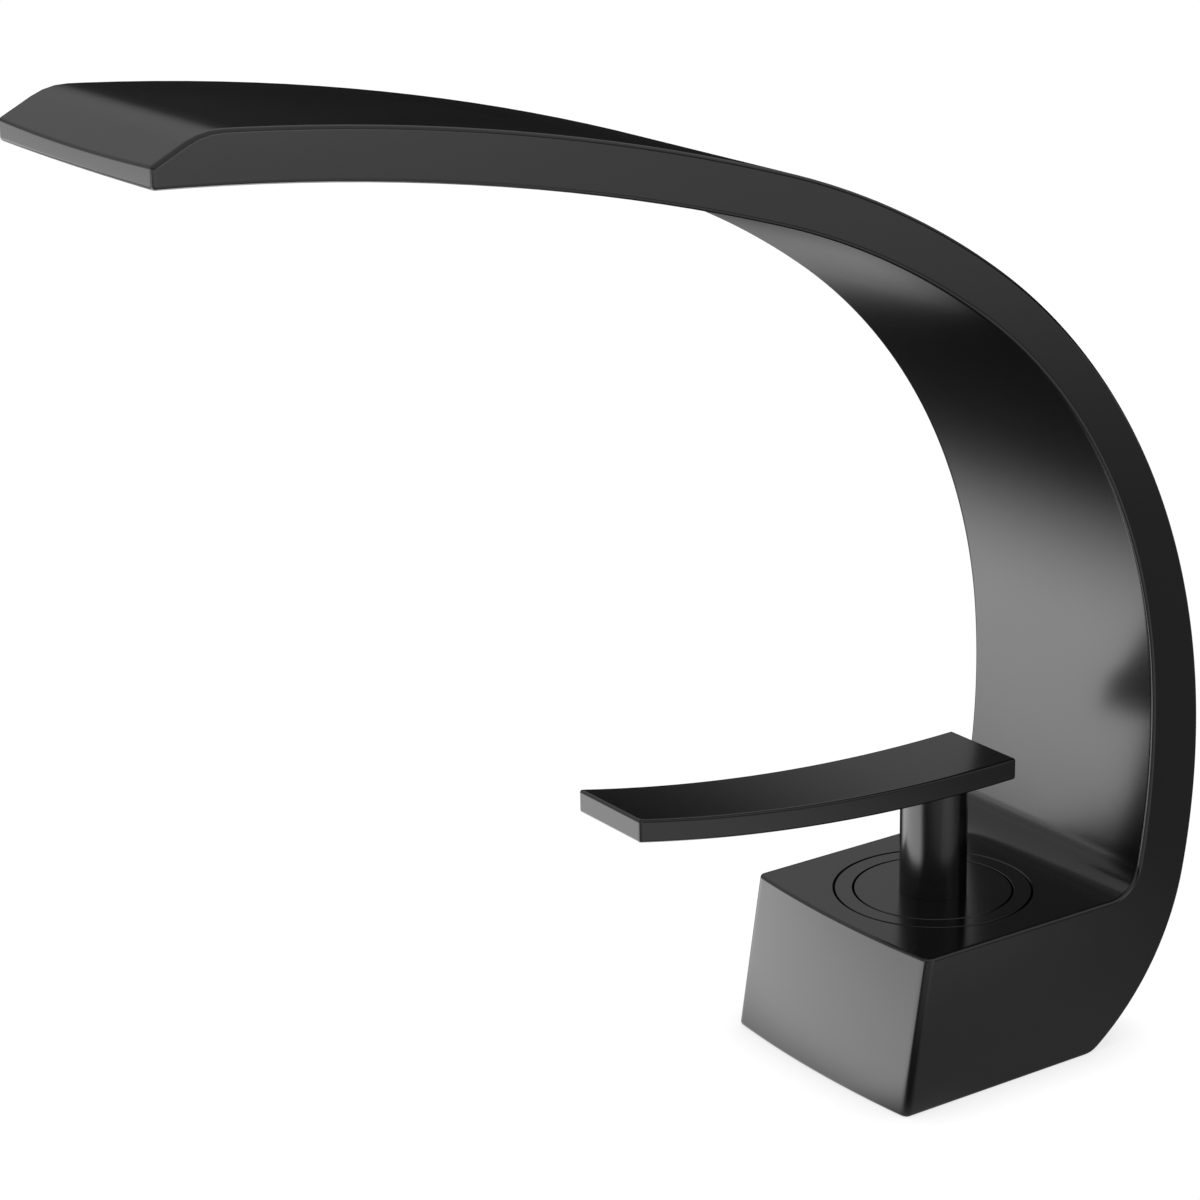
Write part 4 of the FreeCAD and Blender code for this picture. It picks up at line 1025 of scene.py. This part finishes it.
def solid_turned(name, corners, material, steps=96):
    """A solid of revolution whose outline starts and ends on the axis."""
    piece = turned(name, corners, material, steps)
    work = bmesh.new()
    work.from_mesh(piece.data)
    bmesh.ops.remove_doubles(work, verts=work.verts, dist=JOIN_DISTANCE)
    empty = [face for face in work.faces if face.calc_area() < LEAST_AREA]
    bmesh.ops.delete(work, geom=empty, context="FACES_ONLY")
    stray = [edge for edge in work.edges if not edge.link_faces]
    bmesh.ops.delete(work, geom=stray, context="EDGES")
    bmesh.ops.recalc_face_normals(work, faces=work.faces)
    work.to_mesh(piece.data)
    work.free()
    return piece


def outlet_place():
    """The outlet's own frame: on the spout's underside, its third axis into the metal."""
    _, inner = blade_bends()
    back = SPOUT_END + OUTLET_BACK
    (centre_back, _), radius = inner[-1]
    turn = -asin((back - centre_back) / radius)
    spot = Matrix.Translation((0, back * MM, height_on(inner[-1], back) * MM))
    return spot @ Matrix.Rotation(turn, 4, "X")


def shown(piece, body, slot, *nodes):
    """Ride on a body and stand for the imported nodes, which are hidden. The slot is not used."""
    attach(piece, body)
    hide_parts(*nodes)
    return piece


class MIXER_OT_casting(bpy.types.Operator):
    """Build the one-piece casting: base, neck and spout"""

    bl_idname = "mixer.casting"
    bl_label = "Casting"

    def execute(self, context):
        sizes = context.scene.mixer_sizes
        casting = shaped(
            "casting",
            casting_outline(),
            blade_tree(),
            Width=sizes.body_width,
            Edge_Radius=sizes.body_edge,
            Corner_Radius=sizes.body_corner,
            Front_Bow_Radius=sizes.front_bow,
            Tip_Bow_Radius=sizes.tip_bow,
            Stations=CASTING_STATIONS,
            Material=finish("black_coat"),
        )
        join_up(casting)
        cut_away(casting, self.pocket(), *self.deck_cutters(), *self.outlet_cutters())
        shown(smooth(casting), "fixed_body", "black_coated_metal", "faucet_body")
        corners = band(*SEAL_RADII, 0, SEAL_HEIGHT, 0.4, 0.2)
        seal = turned("deck_seal", corners, finish("rubber"))
        placed(seal, Matrix.Translation((0, SEAL_BACK * MM, 0)))
        shown(smooth(seal), "fixed_body", "rubber", "base_seal")
        return {"FINISHED"}

    def pocket(self):
        """The stepped hollow for the cartridge, its nut and the cover ring."""
        corners = [
            (0, POCKET_FLOOR, 0),
            (POCKET_RADIUS, POCKET_FLOOR, 0),
            (POCKET_RADIUS, NUT_FOOT, 0),
            (NUT_RADIUS, NUT_FOOT, 0),
            (NUT_RADIUS, RING_FOOT, 0),
            (RING_BORE, RING_FOOT, 0),
            (RING_BORE, BASE_TOP - MOUTH_CHAMFER, 0),
            (RING_BORE + MOUTH_CHAMFER, BASE_TOP, 0),
            (RING_BORE + MOUTH_CHAMFER, BASE_TOP + CUT_MARGIN, 0),
            (0, BASE_TOP + CUT_MARGIN, 0),
        ]
        return solid_turned("pocket", corners, finish("black_coat"), 144)

    def deck_cutters(self):
        """The seal's groove, the inlets and the stud's hole."""
        groove = turned("groove", band(*SEAL_RADII, -CUT_MARGIN, SEAL_HEIGHT), finish("black_coat"))
        placed(groove, Matrix.Translation((0, SEAL_BACK * MM, 0)))
        return [groove, *[threaded_cutter(*hole) for hole in DECK_HOLES]]

    def outlet_cutters(self):
        """The recess for the plate, the step for the seal and the opening behind them."""
        step_size = (
            MOUTH_LENGTH + 2 * OUTLET_SEAL_WIDTH,
            MOUTH_WIDTH + 2 * OUTLET_SEAL_WIDTH,
            2 * (PLATE_THICKNESS + OUTLET_SEAL_THICKNESS),
        )
        cutters = [
            block("recess", (PLATE_LENGTH, PLATE_WIDTH, 2 * PLATE_THICKNESS), finish("black_coat")),
            block("step", step_size, finish("black_coat")),
            block("throat", (MOUTH_LENGTH, MOUTH_WIDTH, 2 * MOUTH_DEPTH), finish("cast_brass")),
        ]
        return [placed(cutter, outlet_place()) for cutter in cutters]


class MIXER_OT_cover_ring(bpy.types.Operator):
    """Build the ring that covers the cartridge"""

    bl_idname = "mixer.cover_ring"
    bl_label = "Cover ring"

    def execute(self, context):
        seat = sqrt(SEAT_RADIUS**2 - (BASE_TOP - LIFT_AXIS) ** 2)
        ring = turned(
            "ring",
            [
                (SEAT_RADIUS, RING_FOOT, 0.1),
                (RING_BORE, RING_FOOT, 0.1),
                (RING_BORE, RING_STEP, 0.1),
                (RING_RADIUS, RING_STEP, 0.05),
                (RING_RADIUS, BASE_TOP, 0.16),
                (seat, BASE_TOP, 0.14, (0, LIFT_AXIS)),
                (SEAT_RADIUS, LIFT_AXIS, None),
            ],
            finish("turned_black"),
            FINE_STEPS,
        )
        corners = band(O_RING_INSIDE, RING_BORE + CUT_MARGIN, O_RING_FOOT, O_RING_TOP)
        cut_away(ring, turned("groove", corners, finish("turned_black"), FINE_STEPS))
        shown(smooth(ring), "fixed_body", "black_coated_metal", "cover_ring")
        return {"FINISHED"}


class MIXER_OT_handle(bpy.types.Operator):
    """Build the handle: ball segment, post, its small plug and the lever"""

    bl_idname = "mixer.handle"
    bl_label = "Handle"

    def execute(self, context):
        sizes = context.scene.mixer_sizes
        self.build_ball()
        self.build_post(sizes.post_radius / MM)
        self.build_plug(sizes.post_radius / MM)
        self.build_lever(sizes)
        return {"FINISHED"}

    def build_ball(self):
        skirt = LIFT_AXIS - BALL_SKIRT
        inside = BALL_RADIUS - BALL_WALL
        ball = turned(
            "ball_segment",
            [
                (SPIGOT_RADIUS, BASE_TOP, 0),
                (SPIGOT_RADIUS, POST_FOOT, 0),
                (SPINDLE_RADIUS, POST_FOOT, 0),
                (SPINDLE_RADIUS, LIFT_AXIS - HUB_DEPTH, 0.1),
                (HUB_RADIUS, LIFT_AXIS - HUB_DEPTH, 0.2),
                (HUB_RADIUS, BASE_TOP - BALL_ROOF, 0.3),
                (inside, BASE_TOP - BALL_ROOF, 0.3),
                (inside, skirt, 0.1),
                (sqrt(BALL_RADIUS**2 - BALL_SKIRT**2), skirt, 0.1, (0, LIFT_AXIS)),
                (DISC_RADIUS, BASE_TOP, 0.14),
            ],
            finish("turned_black"),
            FINE_STEPS,
        )
        pin_way = turned_bar("pin_way", PIN_RADIUS, PIN_REACH, finish("stainless"))
        cut_away(ball, pin_way)
        shown(smooth(ball), "handle", "black_coated_metal", "handle_base")

    def build_post(self, post_radius):
        post = turned(
            "post",
            [
                (SPINDLE_RADIUS, POST_FOOT, 0),
                (SPIGOT_RADIUS, POST_FOOT, 0),
                (SPIGOT_RADIUS, BASE_TOP, 0),
                (post_radius, BASE_TOP, 0.04),
                (post_radius, LEVER_SEAT, 0),
                (SCREW_RADIUS, LEVER_SEAT, 0),
                (SCREW_RADIUS, LEVER_SEAT - SCREW_LAND, 0),
                (SPINDLE_RADIUS, LEVER_SEAT - SCREW_LAND, 0),
            ],
            finish("black_coat"),
            FINE_STEPS,
        )
        grub_way = grub_bar("grub_way", GRUB_RADIUS, 0, post_radius + CUT_MARGIN, finish("black_coat"))
        cut_away(post, grub_way, locator_hole())
        shown(smooth(post), "handle", "black_coated_metal", "handle_post")

    def build_plug(self, post_radius):
        """The plug follows the post's round side, so a thick ring trims its outer end."""
        span = (post_radius - PLUG_THICKNESS, post_radius + CUT_MARGIN)
        small_plug = grub_bar("post_plug", GRUB_RADIUS - PLUG_GAP, *span, finish("black_plastic"))
        corners = band(post_radius, post_radius + PLUG_TRIM, *PLUG_TRIM_LEVELS)
        cut_away(small_plug, turned("outside", corners, finish("black_plastic"), FINE_STEPS))
        shown(smooth(small_plug), "handle", "black_plastic", "grub_screw_plug")

    def build_lever(self, sizes):
        centre = (LEVER_LOW_PLACE, LEVER_LOW + LEVER_RADIUS)

        def height(radius, back):
            return centre[1] - sqrt(radius**2 - (back - LEVER_LOW_PLACE) ** 2)

        under = LEVER_RADIUS + LEVER_THICKNESS
        edge = sizes.lever_edge / MM
        points, inward, _ = trace(
            [
                (LEVER_FRONT, height(under, LEVER_FRONT), edge, centre),
                (LEVER_REAR, height(under, LEVER_REAR), edge),
                (LEVER_REAR, height(LEVER_RADIUS, LEVER_REAR), edge, centre),
                (LEVER_FRONT, height(LEVER_RADIUS, LEVER_FRONT), edge),
            ],
            radians(0.25),
        )
        lever = shaped(
            "lever",
            outline_mesh("lever", points, inward),
            blade_tree(),
            Width=sizes.lever_width,
            Edge_Radius=sizes.lever_edge,
            Corner_Radius=sizes.lever_edge,
            Material=finish("black_coat"),
        )
        join_up(lever)
        post_radius = sizes.post_radius / MM
        corners = [
            (0, SEAT_CUT_FOOT, 0),
            (post_radius, SEAT_CUT_FOOT, 0),
            (post_radius, LEVER_SEAT, 0),
            (SCREW_RADIUS, LEVER_SEAT, 0),
            (SCREW_RADIUS, LEVER_SEAT + SCREW_BITE, 0),
            (0, LEVER_SEAT + SCREW_BITE, 0),
        ]
        seat = solid_turned("seat", corners, finish("black_coat"), FINE_STEPS)
        cut_away(lever, seat, locator_hole())
        shown(smooth(lever), "handle", "black_coated_metal", "lever_plate")


def turned_bar(name, radius, reach, material):
    """A round bar along X through the lift axis."""
    bar = solid_turned(name, band(0, radius, -reach, reach), material, 48)
    spot = Matrix.Translation((0, 0, LIFT_AXIS * MM))
    return placed(bar, spot @ Matrix.Rotation(pi / 2, 4, "Y"))


def grub_bar(name, radius, start, end, material):
    """A round bar towards the back of the post."""
    bar = solid_turned(name, band(0, radius, start, end), material, 64)
    spot = Matrix.Translation((0, 0, GRUB_UP * MM))
    return placed(bar, spot @ Matrix.Rotation(-pi / 2, 4, "X"))


def locator_hole():
    """The hole for the small locating pin, in both the post and the lever."""
    corners = band(0, LOCATOR_RADIUS, LEVER_SEAT - LOCATOR_REACH, LEVER_SEAT + LOCATOR_REACH)
    bar = solid_turned("locator_hole", corners, finish("black_coat"), 32)
    return placed(bar, Matrix.Translation((LOCATOR_PLACE * MM, 0, 0)))


class MIXER_OT_outlet(bpy.types.Operator):
    """Build the outlet plate with its slots, the flow straightener and the screws"""

    bl_idname = "mixer.outlet"
    bl_label = "Outlet"

    def execute(self, context):
        mouth = outlet_place()
        tree = pattern_tree()
        self.build_plate(mouth, tree, context.scene.mixer_sizes.slot_count)
        self.build_straightener(mouth, tree)
        self.build_screws(mouth)
        return {"FINISHED"}

    def build_plate(self, mouth, tree, slot_count):
        size = (PLATE_LENGTH - 2 * PLATE_GAP, PLATE_WIDTH - 2 * PLATE_GAP, PLATE_THICKNESS)
        centre = (0, 0, PLATE_THICKNESS / 2)
        plate = bevelled(block("outlet_grille", size, finish("stainless"), centre), PLATE_EDGE)
        slots = shaped(
            "slots",
            bpy.data.meshes.new("slots"),
            tree,
            Across=slot_count,
            Pitch_Across=SLOT_PITCH * MM,
            Length=SLOT_WIDTH * MM,
            Width=SLOT_LENGTH * MM,
            Material=finish("stainless"),
        )
        corners = [
            (0, -CUT_MARGIN, 0),
            (HEAD_RADIUS + HEAD_CHAMFER, -CUT_MARGIN, 0),
            (HEAD_RADIUS, HEAD_CHAMFER, 0),
            (HEAD_RADIUS, HEAD_HEIGHT, 0),
            (THREAD_RADIUS, HEAD_HEIGHT, 0),
            (THREAD_RADIUS, PLATE_THICKNESS + HEAD_HEIGHT, 0),
            (0, PLATE_THICKNESS + HEAD_HEIGHT, 0),
        ]
        holes = []
        for side in (-SCREW_OFFSET, SCREW_OFFSET):
            hole = solid_turned("screw_way", corners, finish("stainless"), 48)
            holes.append(placed(hole, Matrix.Translation((side * MM, 0, 0))))
        cut_away(plate, slots, *holes)
        placed(plate, mouth)
        shown(smooth(plate), "fixed_body", "steel", "outlet_plate")

    def build_straightener(self, mouth, tree):
        plastic = finish("grey_plastic")
        size = (
            MOUTH_LENGTH - 2 * STRAIGHTENER_GAP,
            MOUTH_WIDTH - 2 * STRAIGHTENER_GAP,
            STRAIGHTENER_THICKNESS,
        )
        centre = (0, 0, PLATE_THICKNESS + STRAIGHTENER_THICKNESS / 2)
        straightener = block("flow_straightener", size, plastic, centre)
        cells = shaped(
            "cells",
            bpy.data.meshes.new("cells"),
            tree,
            Across=CELL_COLUMNS,
            Along=CELL_ROWS,
            Pitch_Across=CELL_PITCH * MM,
            Pitch_Along=CELL_PITCH * MM,
            Length=CELL_WIDTH * MM,
            Width=CELL_WIDTH * MM,
            Depth=CELL_DEPTH * MM,
            Material=plastic,
        )
        cut_away(straightener, cells)
        placed(straightener, mouth)
        shown(smooth(straightener), "fixed_body", "cartridge_plastic", "outlet_straightener")

    def build_screws(self, mouth):
        steel = finish("stainless")
        head, thread = HEAD_RADIUS - SCREW_GAP, THREAD_RADIUS - SCREW_GAP
        corners = [
            (0, 0, 0),
            (head, 0, 0.15),
            (head, HEAD_HEIGHT, 0),
            (thread, HEAD_HEIGHT, 0),
            (thread, SCREW_LENGTH, 0.2),
            (0, SCREW_LENGTH, 0),
        ]
        work = bmesh.new()
        for side in (-SCREW_OFFSET, SCREW_OFFSET):
            screw = solid_turned("screw", corners, steel, 64)
            cross = block("cross", (CROSS_WIDTH, CROSS_LENGTH, 2 * CROSS_DEPTH), steel)
            other = block("other", (CROSS_LENGTH, CROSS_WIDTH, 2 * CROSS_DEPTH), steel)
            cut_away(screw, cross, other)
            placed(screw, Matrix.Translation((side * MM, 0, 0)))
            work.from_mesh(screw.data)
            bpy.data.objects.remove(screw)
        mesh = bpy.data.meshes.new("outlet_screw_pair")
        work.to_mesh(mesh)
        work.free()
        pair = new_object("outlet_screw_pair", mesh)
        mesh.materials.append(steel)
        placed(pair, mouth)
        shown(smooth(pair), "fixed_body", "steel", "outlet_screws")


INNER_FINISHES = {
    "cover_ring_o_ring": "rubber",
    "retaining_nut": "cast_brass",
    "cartridge_housing": "white_plastic",
    "cartridge_base": "white_plastic",
    "cartridge_port_seals": "rubber",
    "disc_gasket": "rubber",
    "fixed_ceramic_disc": "ceramic",
    "moving_ceramic_disc": "ceramic",
    "disc_carrier": "grey_plastic",
    "cartridge_rotor": "grey_plastic",
    "pivot_pin": "stainless",
    "spindle": "stainless",
    "handle_grub_screw": "stainless",
    "lever_screw": "stainless",
    "lever_locating_pin": "stainless",
    "outlet_seal": "rubber",
}


class MIXER_OT_inner_pieces(bpy.types.Operator):
    """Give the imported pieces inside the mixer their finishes"""

    bl_idname = "mixer.inner_pieces"
    bl_label = "Inner pieces"

    def execute(self, context):
        for node, name in INNER_FINISHES.items():
            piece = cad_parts[node]
            for place in piece.material_slots:
                place.material = finish(name)
        return {"FINISHED"}


# The studio. Sizes and places are in metres here, and the lens in millimetres.
FLOOR_HALF = 4.0
SEEN_BRIGHTNESS = 1.02
LEAST_GLOW = 0.006
LEAST_SKY = 0.005
# Painted contact shadow: where the camera sees the floor, ambient occlusion within this reach dims its
# glow near the pieces.
CONTACT_REACH = 0.012
CONTACT_SHADE = {"From Min": 0.35, "From Max": 0.9, "To Min": 0.78, "To Max": 1.0}
GAP_LEFT = 0.15

# What the gloss reflects. Patches add up, and each is the product of soft steps: the measure that
# a step follows, where it starts and finishes, and its value at both ends.
FLOOR_PATCHES = [
    # In front of the base, from the middle to the left, with a dark gap in it.
    [
        ("along", -0.003, -0.052, 0.0, 2.65),
        ("along", -0.09, -0.16, 1.0, 0.8),
        ("across", 0.035, 0.005, 0.0, 1.0),
        ("across", -1.05, -0.5, 0.5, 1.0),
        ("across", -0.18, -0.25, 1.0, GAP_LEFT),
        ("across", -0.4, -0.6, 1.0, 1 / GAP_LEFT),
    ],
    # A ring round the base, on its left.
    [
        ("distance", 0.2, 0.27, 0.0, 0.45),
        ("distance", 0.5, 0.3, 0.1, 1.0),
        ("distance", 1.1, 0.7, 0.0, 1.0),
        ("across", 0.0, -0.1, 0.0, 1.0),
    ],
    # Beside the base, on its right.
    [
        ("along", 0.1, 0.02, 0.15, 0.26),
        ("along", -0.035, -0.015, 0.2, 1.0),
        ("across", -0.01, 0.03, 0.0, 1.0),
    ],
    # Far out on the right.
    [("across", 0.3, 0.65, 0.0, 0.45)],
    # The right front.
    [("along", 0.1, 0.03, 0.0, 0.36), ("across", 0.05, 0.13, 0.0, 1.0)],
]
SKY_PATCHES = [
    # The ceiling, in two steps.
    [("up", 0.17, 0.32, 0.0, 0.32)],
    [("up", 0.3, 0.5, 0.0, 0.16)],
    # The wall in front and on the left.
    [
        ("along", -0.1, -0.5, 0.0, 0.48),
        ("up", 0.5, 0.1, 0.0, 1.0),
        ("across", 0.3, -0.2, 0.0, 1.0),
    ],
]

AIM = (0, -0.06, 0.09)
SOFTBOX_DIRECTION = (0.95, 0.35, 0.1)
SOFTBOX_DISTANCE = 1.3
SOFTBOX_SIZE = (0.5, 0.4)
SOFTBOX_POWER = 0.8

VIEW_AZIMUTH, VIEW_ELEVATION, VIEW_ROLL = radians(54.45), radians(17.85), radians(-0.54)
VIEW_PLACE = (0.44858, -0.37896, 0.27796)
VIEW_LENS = 102.17
VIEW_SENSOR = 36
VIEW_SHIFT = (-0.06196, -0.01409)
VIEW_NEAREST = 0.01


def patches_glow(tree, vector, patches):
    """The brightness that the patches give at a place or in a direction."""
    split = tree.nodes.new("ShaderNodeSeparateXYZ")
    plug(tree, split.inputs[0], vector)
    across, along, up = (Wire(tree, split.outputs[axis]) for axis in range(3))
    distance = (across * across + along * along).math("SQRT")
    measures = {"across": across, "along": along, "up": up, "distance": distance}
    total = None
    for patch in patches:
        product = None
        for measure, *levels in patch:
            step = eased(tree, measures[measure], *levels)
            product = product * step if product else step
        total = total + product if total else product
    return total


class MIXER_OT_stage(bpy.types.Operator):
    """Build the floor, the world, the soft lamp and the camera"""

    bl_idname = "mixer.stage"
    bl_label = "Studio"

    def execute(self, context):
        look = context.scene.mixer_look
        context.scene.view_settings.view_transform = "Standard"
        self.build_floor(look)
        self.build_world(context)
        self.build_softbox(context, look)
        self.build_camera(context)
        return {"FINISHED"}

    def build_floor(self, look):
        """The floor is plain and bright where it is seen, with a painted contact shadow near the
        pieces, and patchy where it is reflected.
        """
        half = FLOOR_HALF
        corners = [(-half, -half, 0), (half, -half, 0), (half, half, 0), (-half, half, 0)]
        floor = new_object("floor", mesh_of("floor", corners, [(0, 1, 2, 3)]))
        material = bpy.data.materials.new("plain_floor")
        material.use_nodes = True
        tree = material.node_tree
        tree.nodes.clear()
        seen = add_node(tree, "ShaderNodeLightPath", output="Is Camera Ray")
        # Painted contact shadow: ambient occlusion darkens the floor's seen glow near the pieces.
        reach = {"Distance": CONTACT_REACH}
        near = add_node(tree, "ShaderNodeAmbientOcclusion", reach, output="AO", samples=8)
        painted_contact_shadow = add_node(tree, "ShaderNodeMapRange", {"Value": near, **CONTACT_SHADE})
        light = {"Color": (*look.floor_colour, 1), "Strength": painted_contact_shadow * SEEN_BRIGHTNESS}
        plain = add_node(tree, "ShaderNodeEmission", light)
        position = add_node(tree, "ShaderNodeNewGeometry", output="Position")
        glow = patches_glow(tree, position, FLOOR_PATCHES) + LEAST_GLOW
        reflected = add_node(tree, "ShaderNodeEmission", {"Strength": glow})
        mixed = add_node(tree, "ShaderNodeMixShader", {0: seen, 1: reflected, 2: plain})
        leave = tree.nodes.new("ShaderNodeOutputMaterial")
        plug(tree, leave.inputs[0], mixed)
        lay_out(tree)
        floor.data.materials.append(material)

    def build_world(self, context):
        """The world is plain and bright where it is seen, and patchy where it is reflected."""
        world = bpy.data.worlds.new("studio")
        context.scene.world = world
        world.use_nodes = True
        tree = world.node_tree
        tree.nodes.clear()
        seen = add_node(tree, "ShaderNodeLightPath", output="Is Camera Ray")
        direction = add_node(tree, "ShaderNodeTexCoord", output="Generated")
        glow = patches_glow(tree, direction, SKY_PATCHES) + LEAST_SKY
        white = (1, 1, 1, 1)
        reflected = add_node(tree, "ShaderNodeBackground", {"Color": white, "Strength": glow})
        bright = {"Color": white, "Strength": SEEN_BRIGHTNESS}
        plain = add_node(tree, "ShaderNodeBackground", bright)
        mixed = add_node(tree, "ShaderNodeMixShader", {0: seen, 1: reflected, 2: plain})
        leave = tree.nodes.new("ShaderNodeOutputWorld")
        plug(tree, leave.inputs[0], mixed)
        lay_out(tree)

    def build_softbox(self, context, look):
        data = bpy.data.lights.new("side_softbox", "AREA")
        data.shape = "RECTANGLE"
        data.size, data.size_y = SOFTBOX_SIZE
        data.energy = SOFTBOX_POWER * look.light_strength
        lamp = bpy.data.objects.new("side_softbox", data)
        context.scene.collection.objects.link(lamp)
        away = Vector(SOFTBOX_DIRECTION).normalized()
        lamp.location = Vector(AIM) + away * SOFTBOX_DISTANCE
        lamp.rotation_euler = away.to_track_quat("Z", "Y").to_euler()
        lamp.visible_camera = False

    def build_camera(self, context):
        level = cos(VIEW_ELEVATION)
        turned_to = (sin(VIEW_AZIMUTH) * level, -cos(VIEW_AZIMUTH) * level, sin(VIEW_ELEVATION))
        back = Vector(turned_to)
        right = Vector((cos(VIEW_AZIMUTH), sin(VIEW_AZIMUTH), 0))
        up = back.cross(right)
        tilted_right = right * cos(VIEW_ROLL) + up * sin(VIEW_ROLL)
        tilted_up = up * cos(VIEW_ROLL) - right * sin(VIEW_ROLL)
        data = bpy.data.cameras.new("view")
        data.sensor_width = VIEW_SENSOR
        data.lens = VIEW_LENS
        data.shift_x, data.shift_y = VIEW_SHIFT
        data.clip_start = VIEW_NEAREST
        camera = bpy.data.objects.new("view", data)
        context.scene.collection.objects.link(camera)
        turn = Matrix((tilted_right, tilted_up, back)).transposed()
        camera.matrix_world = Matrix.Translation(VIEW_PLACE) @ turn.to_4x4()
        context.scene.camera = camera


class MIXER_PT_panel(bpy.types.Panel):
    """Lists the pieces, their sizes and the studio"""

    bl_idname = "MIXER_PT_panel"
    bl_label = "Basin mixer"
    bl_space_type = "VIEW_3D"
    bl_region_type = "UI"
    bl_category = "Basin mixer"

    def draw(self, context):
        for group in (context.scene.mixer_sizes, context.scene.mixer_look):
            column = self.layout.column(align=True)
            for name in group.__annotations__:
                column.prop(group, name)
        for step in STEPS:
            self.layout.operator(step.bl_idname)


STEPS = [
    MIXER_OT_casting,
    MIXER_OT_cover_ring,
    MIXER_OT_handle,
    MIXER_OT_outlet,
    MIXER_OT_inner_pieces,
    MIXER_OT_stage,
]
CLASSES = [MixerSizes, MixerLook, *STEPS, MIXER_PT_panel]


def register():
    for kind in CLASSES:
        bpy.utils.register_class(kind)
    bpy.types.Scene.mixer_sizes = bpy.props.PointerProperty(type=MixerSizes)
    bpy.types.Scene.mixer_look = bpy.props.PointerProperty(type=MixerLook)


def unregister():
    del bpy.types.Scene.mixer_look
    del bpy.types.Scene.mixer_sizes
    for kind in reversed(CLASSES):
        bpy.utils.unregister_class(kind)


def main():
    register()
    for step in STEPS:
        area, name = step.bl_idname.split(".")
        getattr(getattr(bpy.ops, area), name)()


if __name__ == "__main__":
    main()
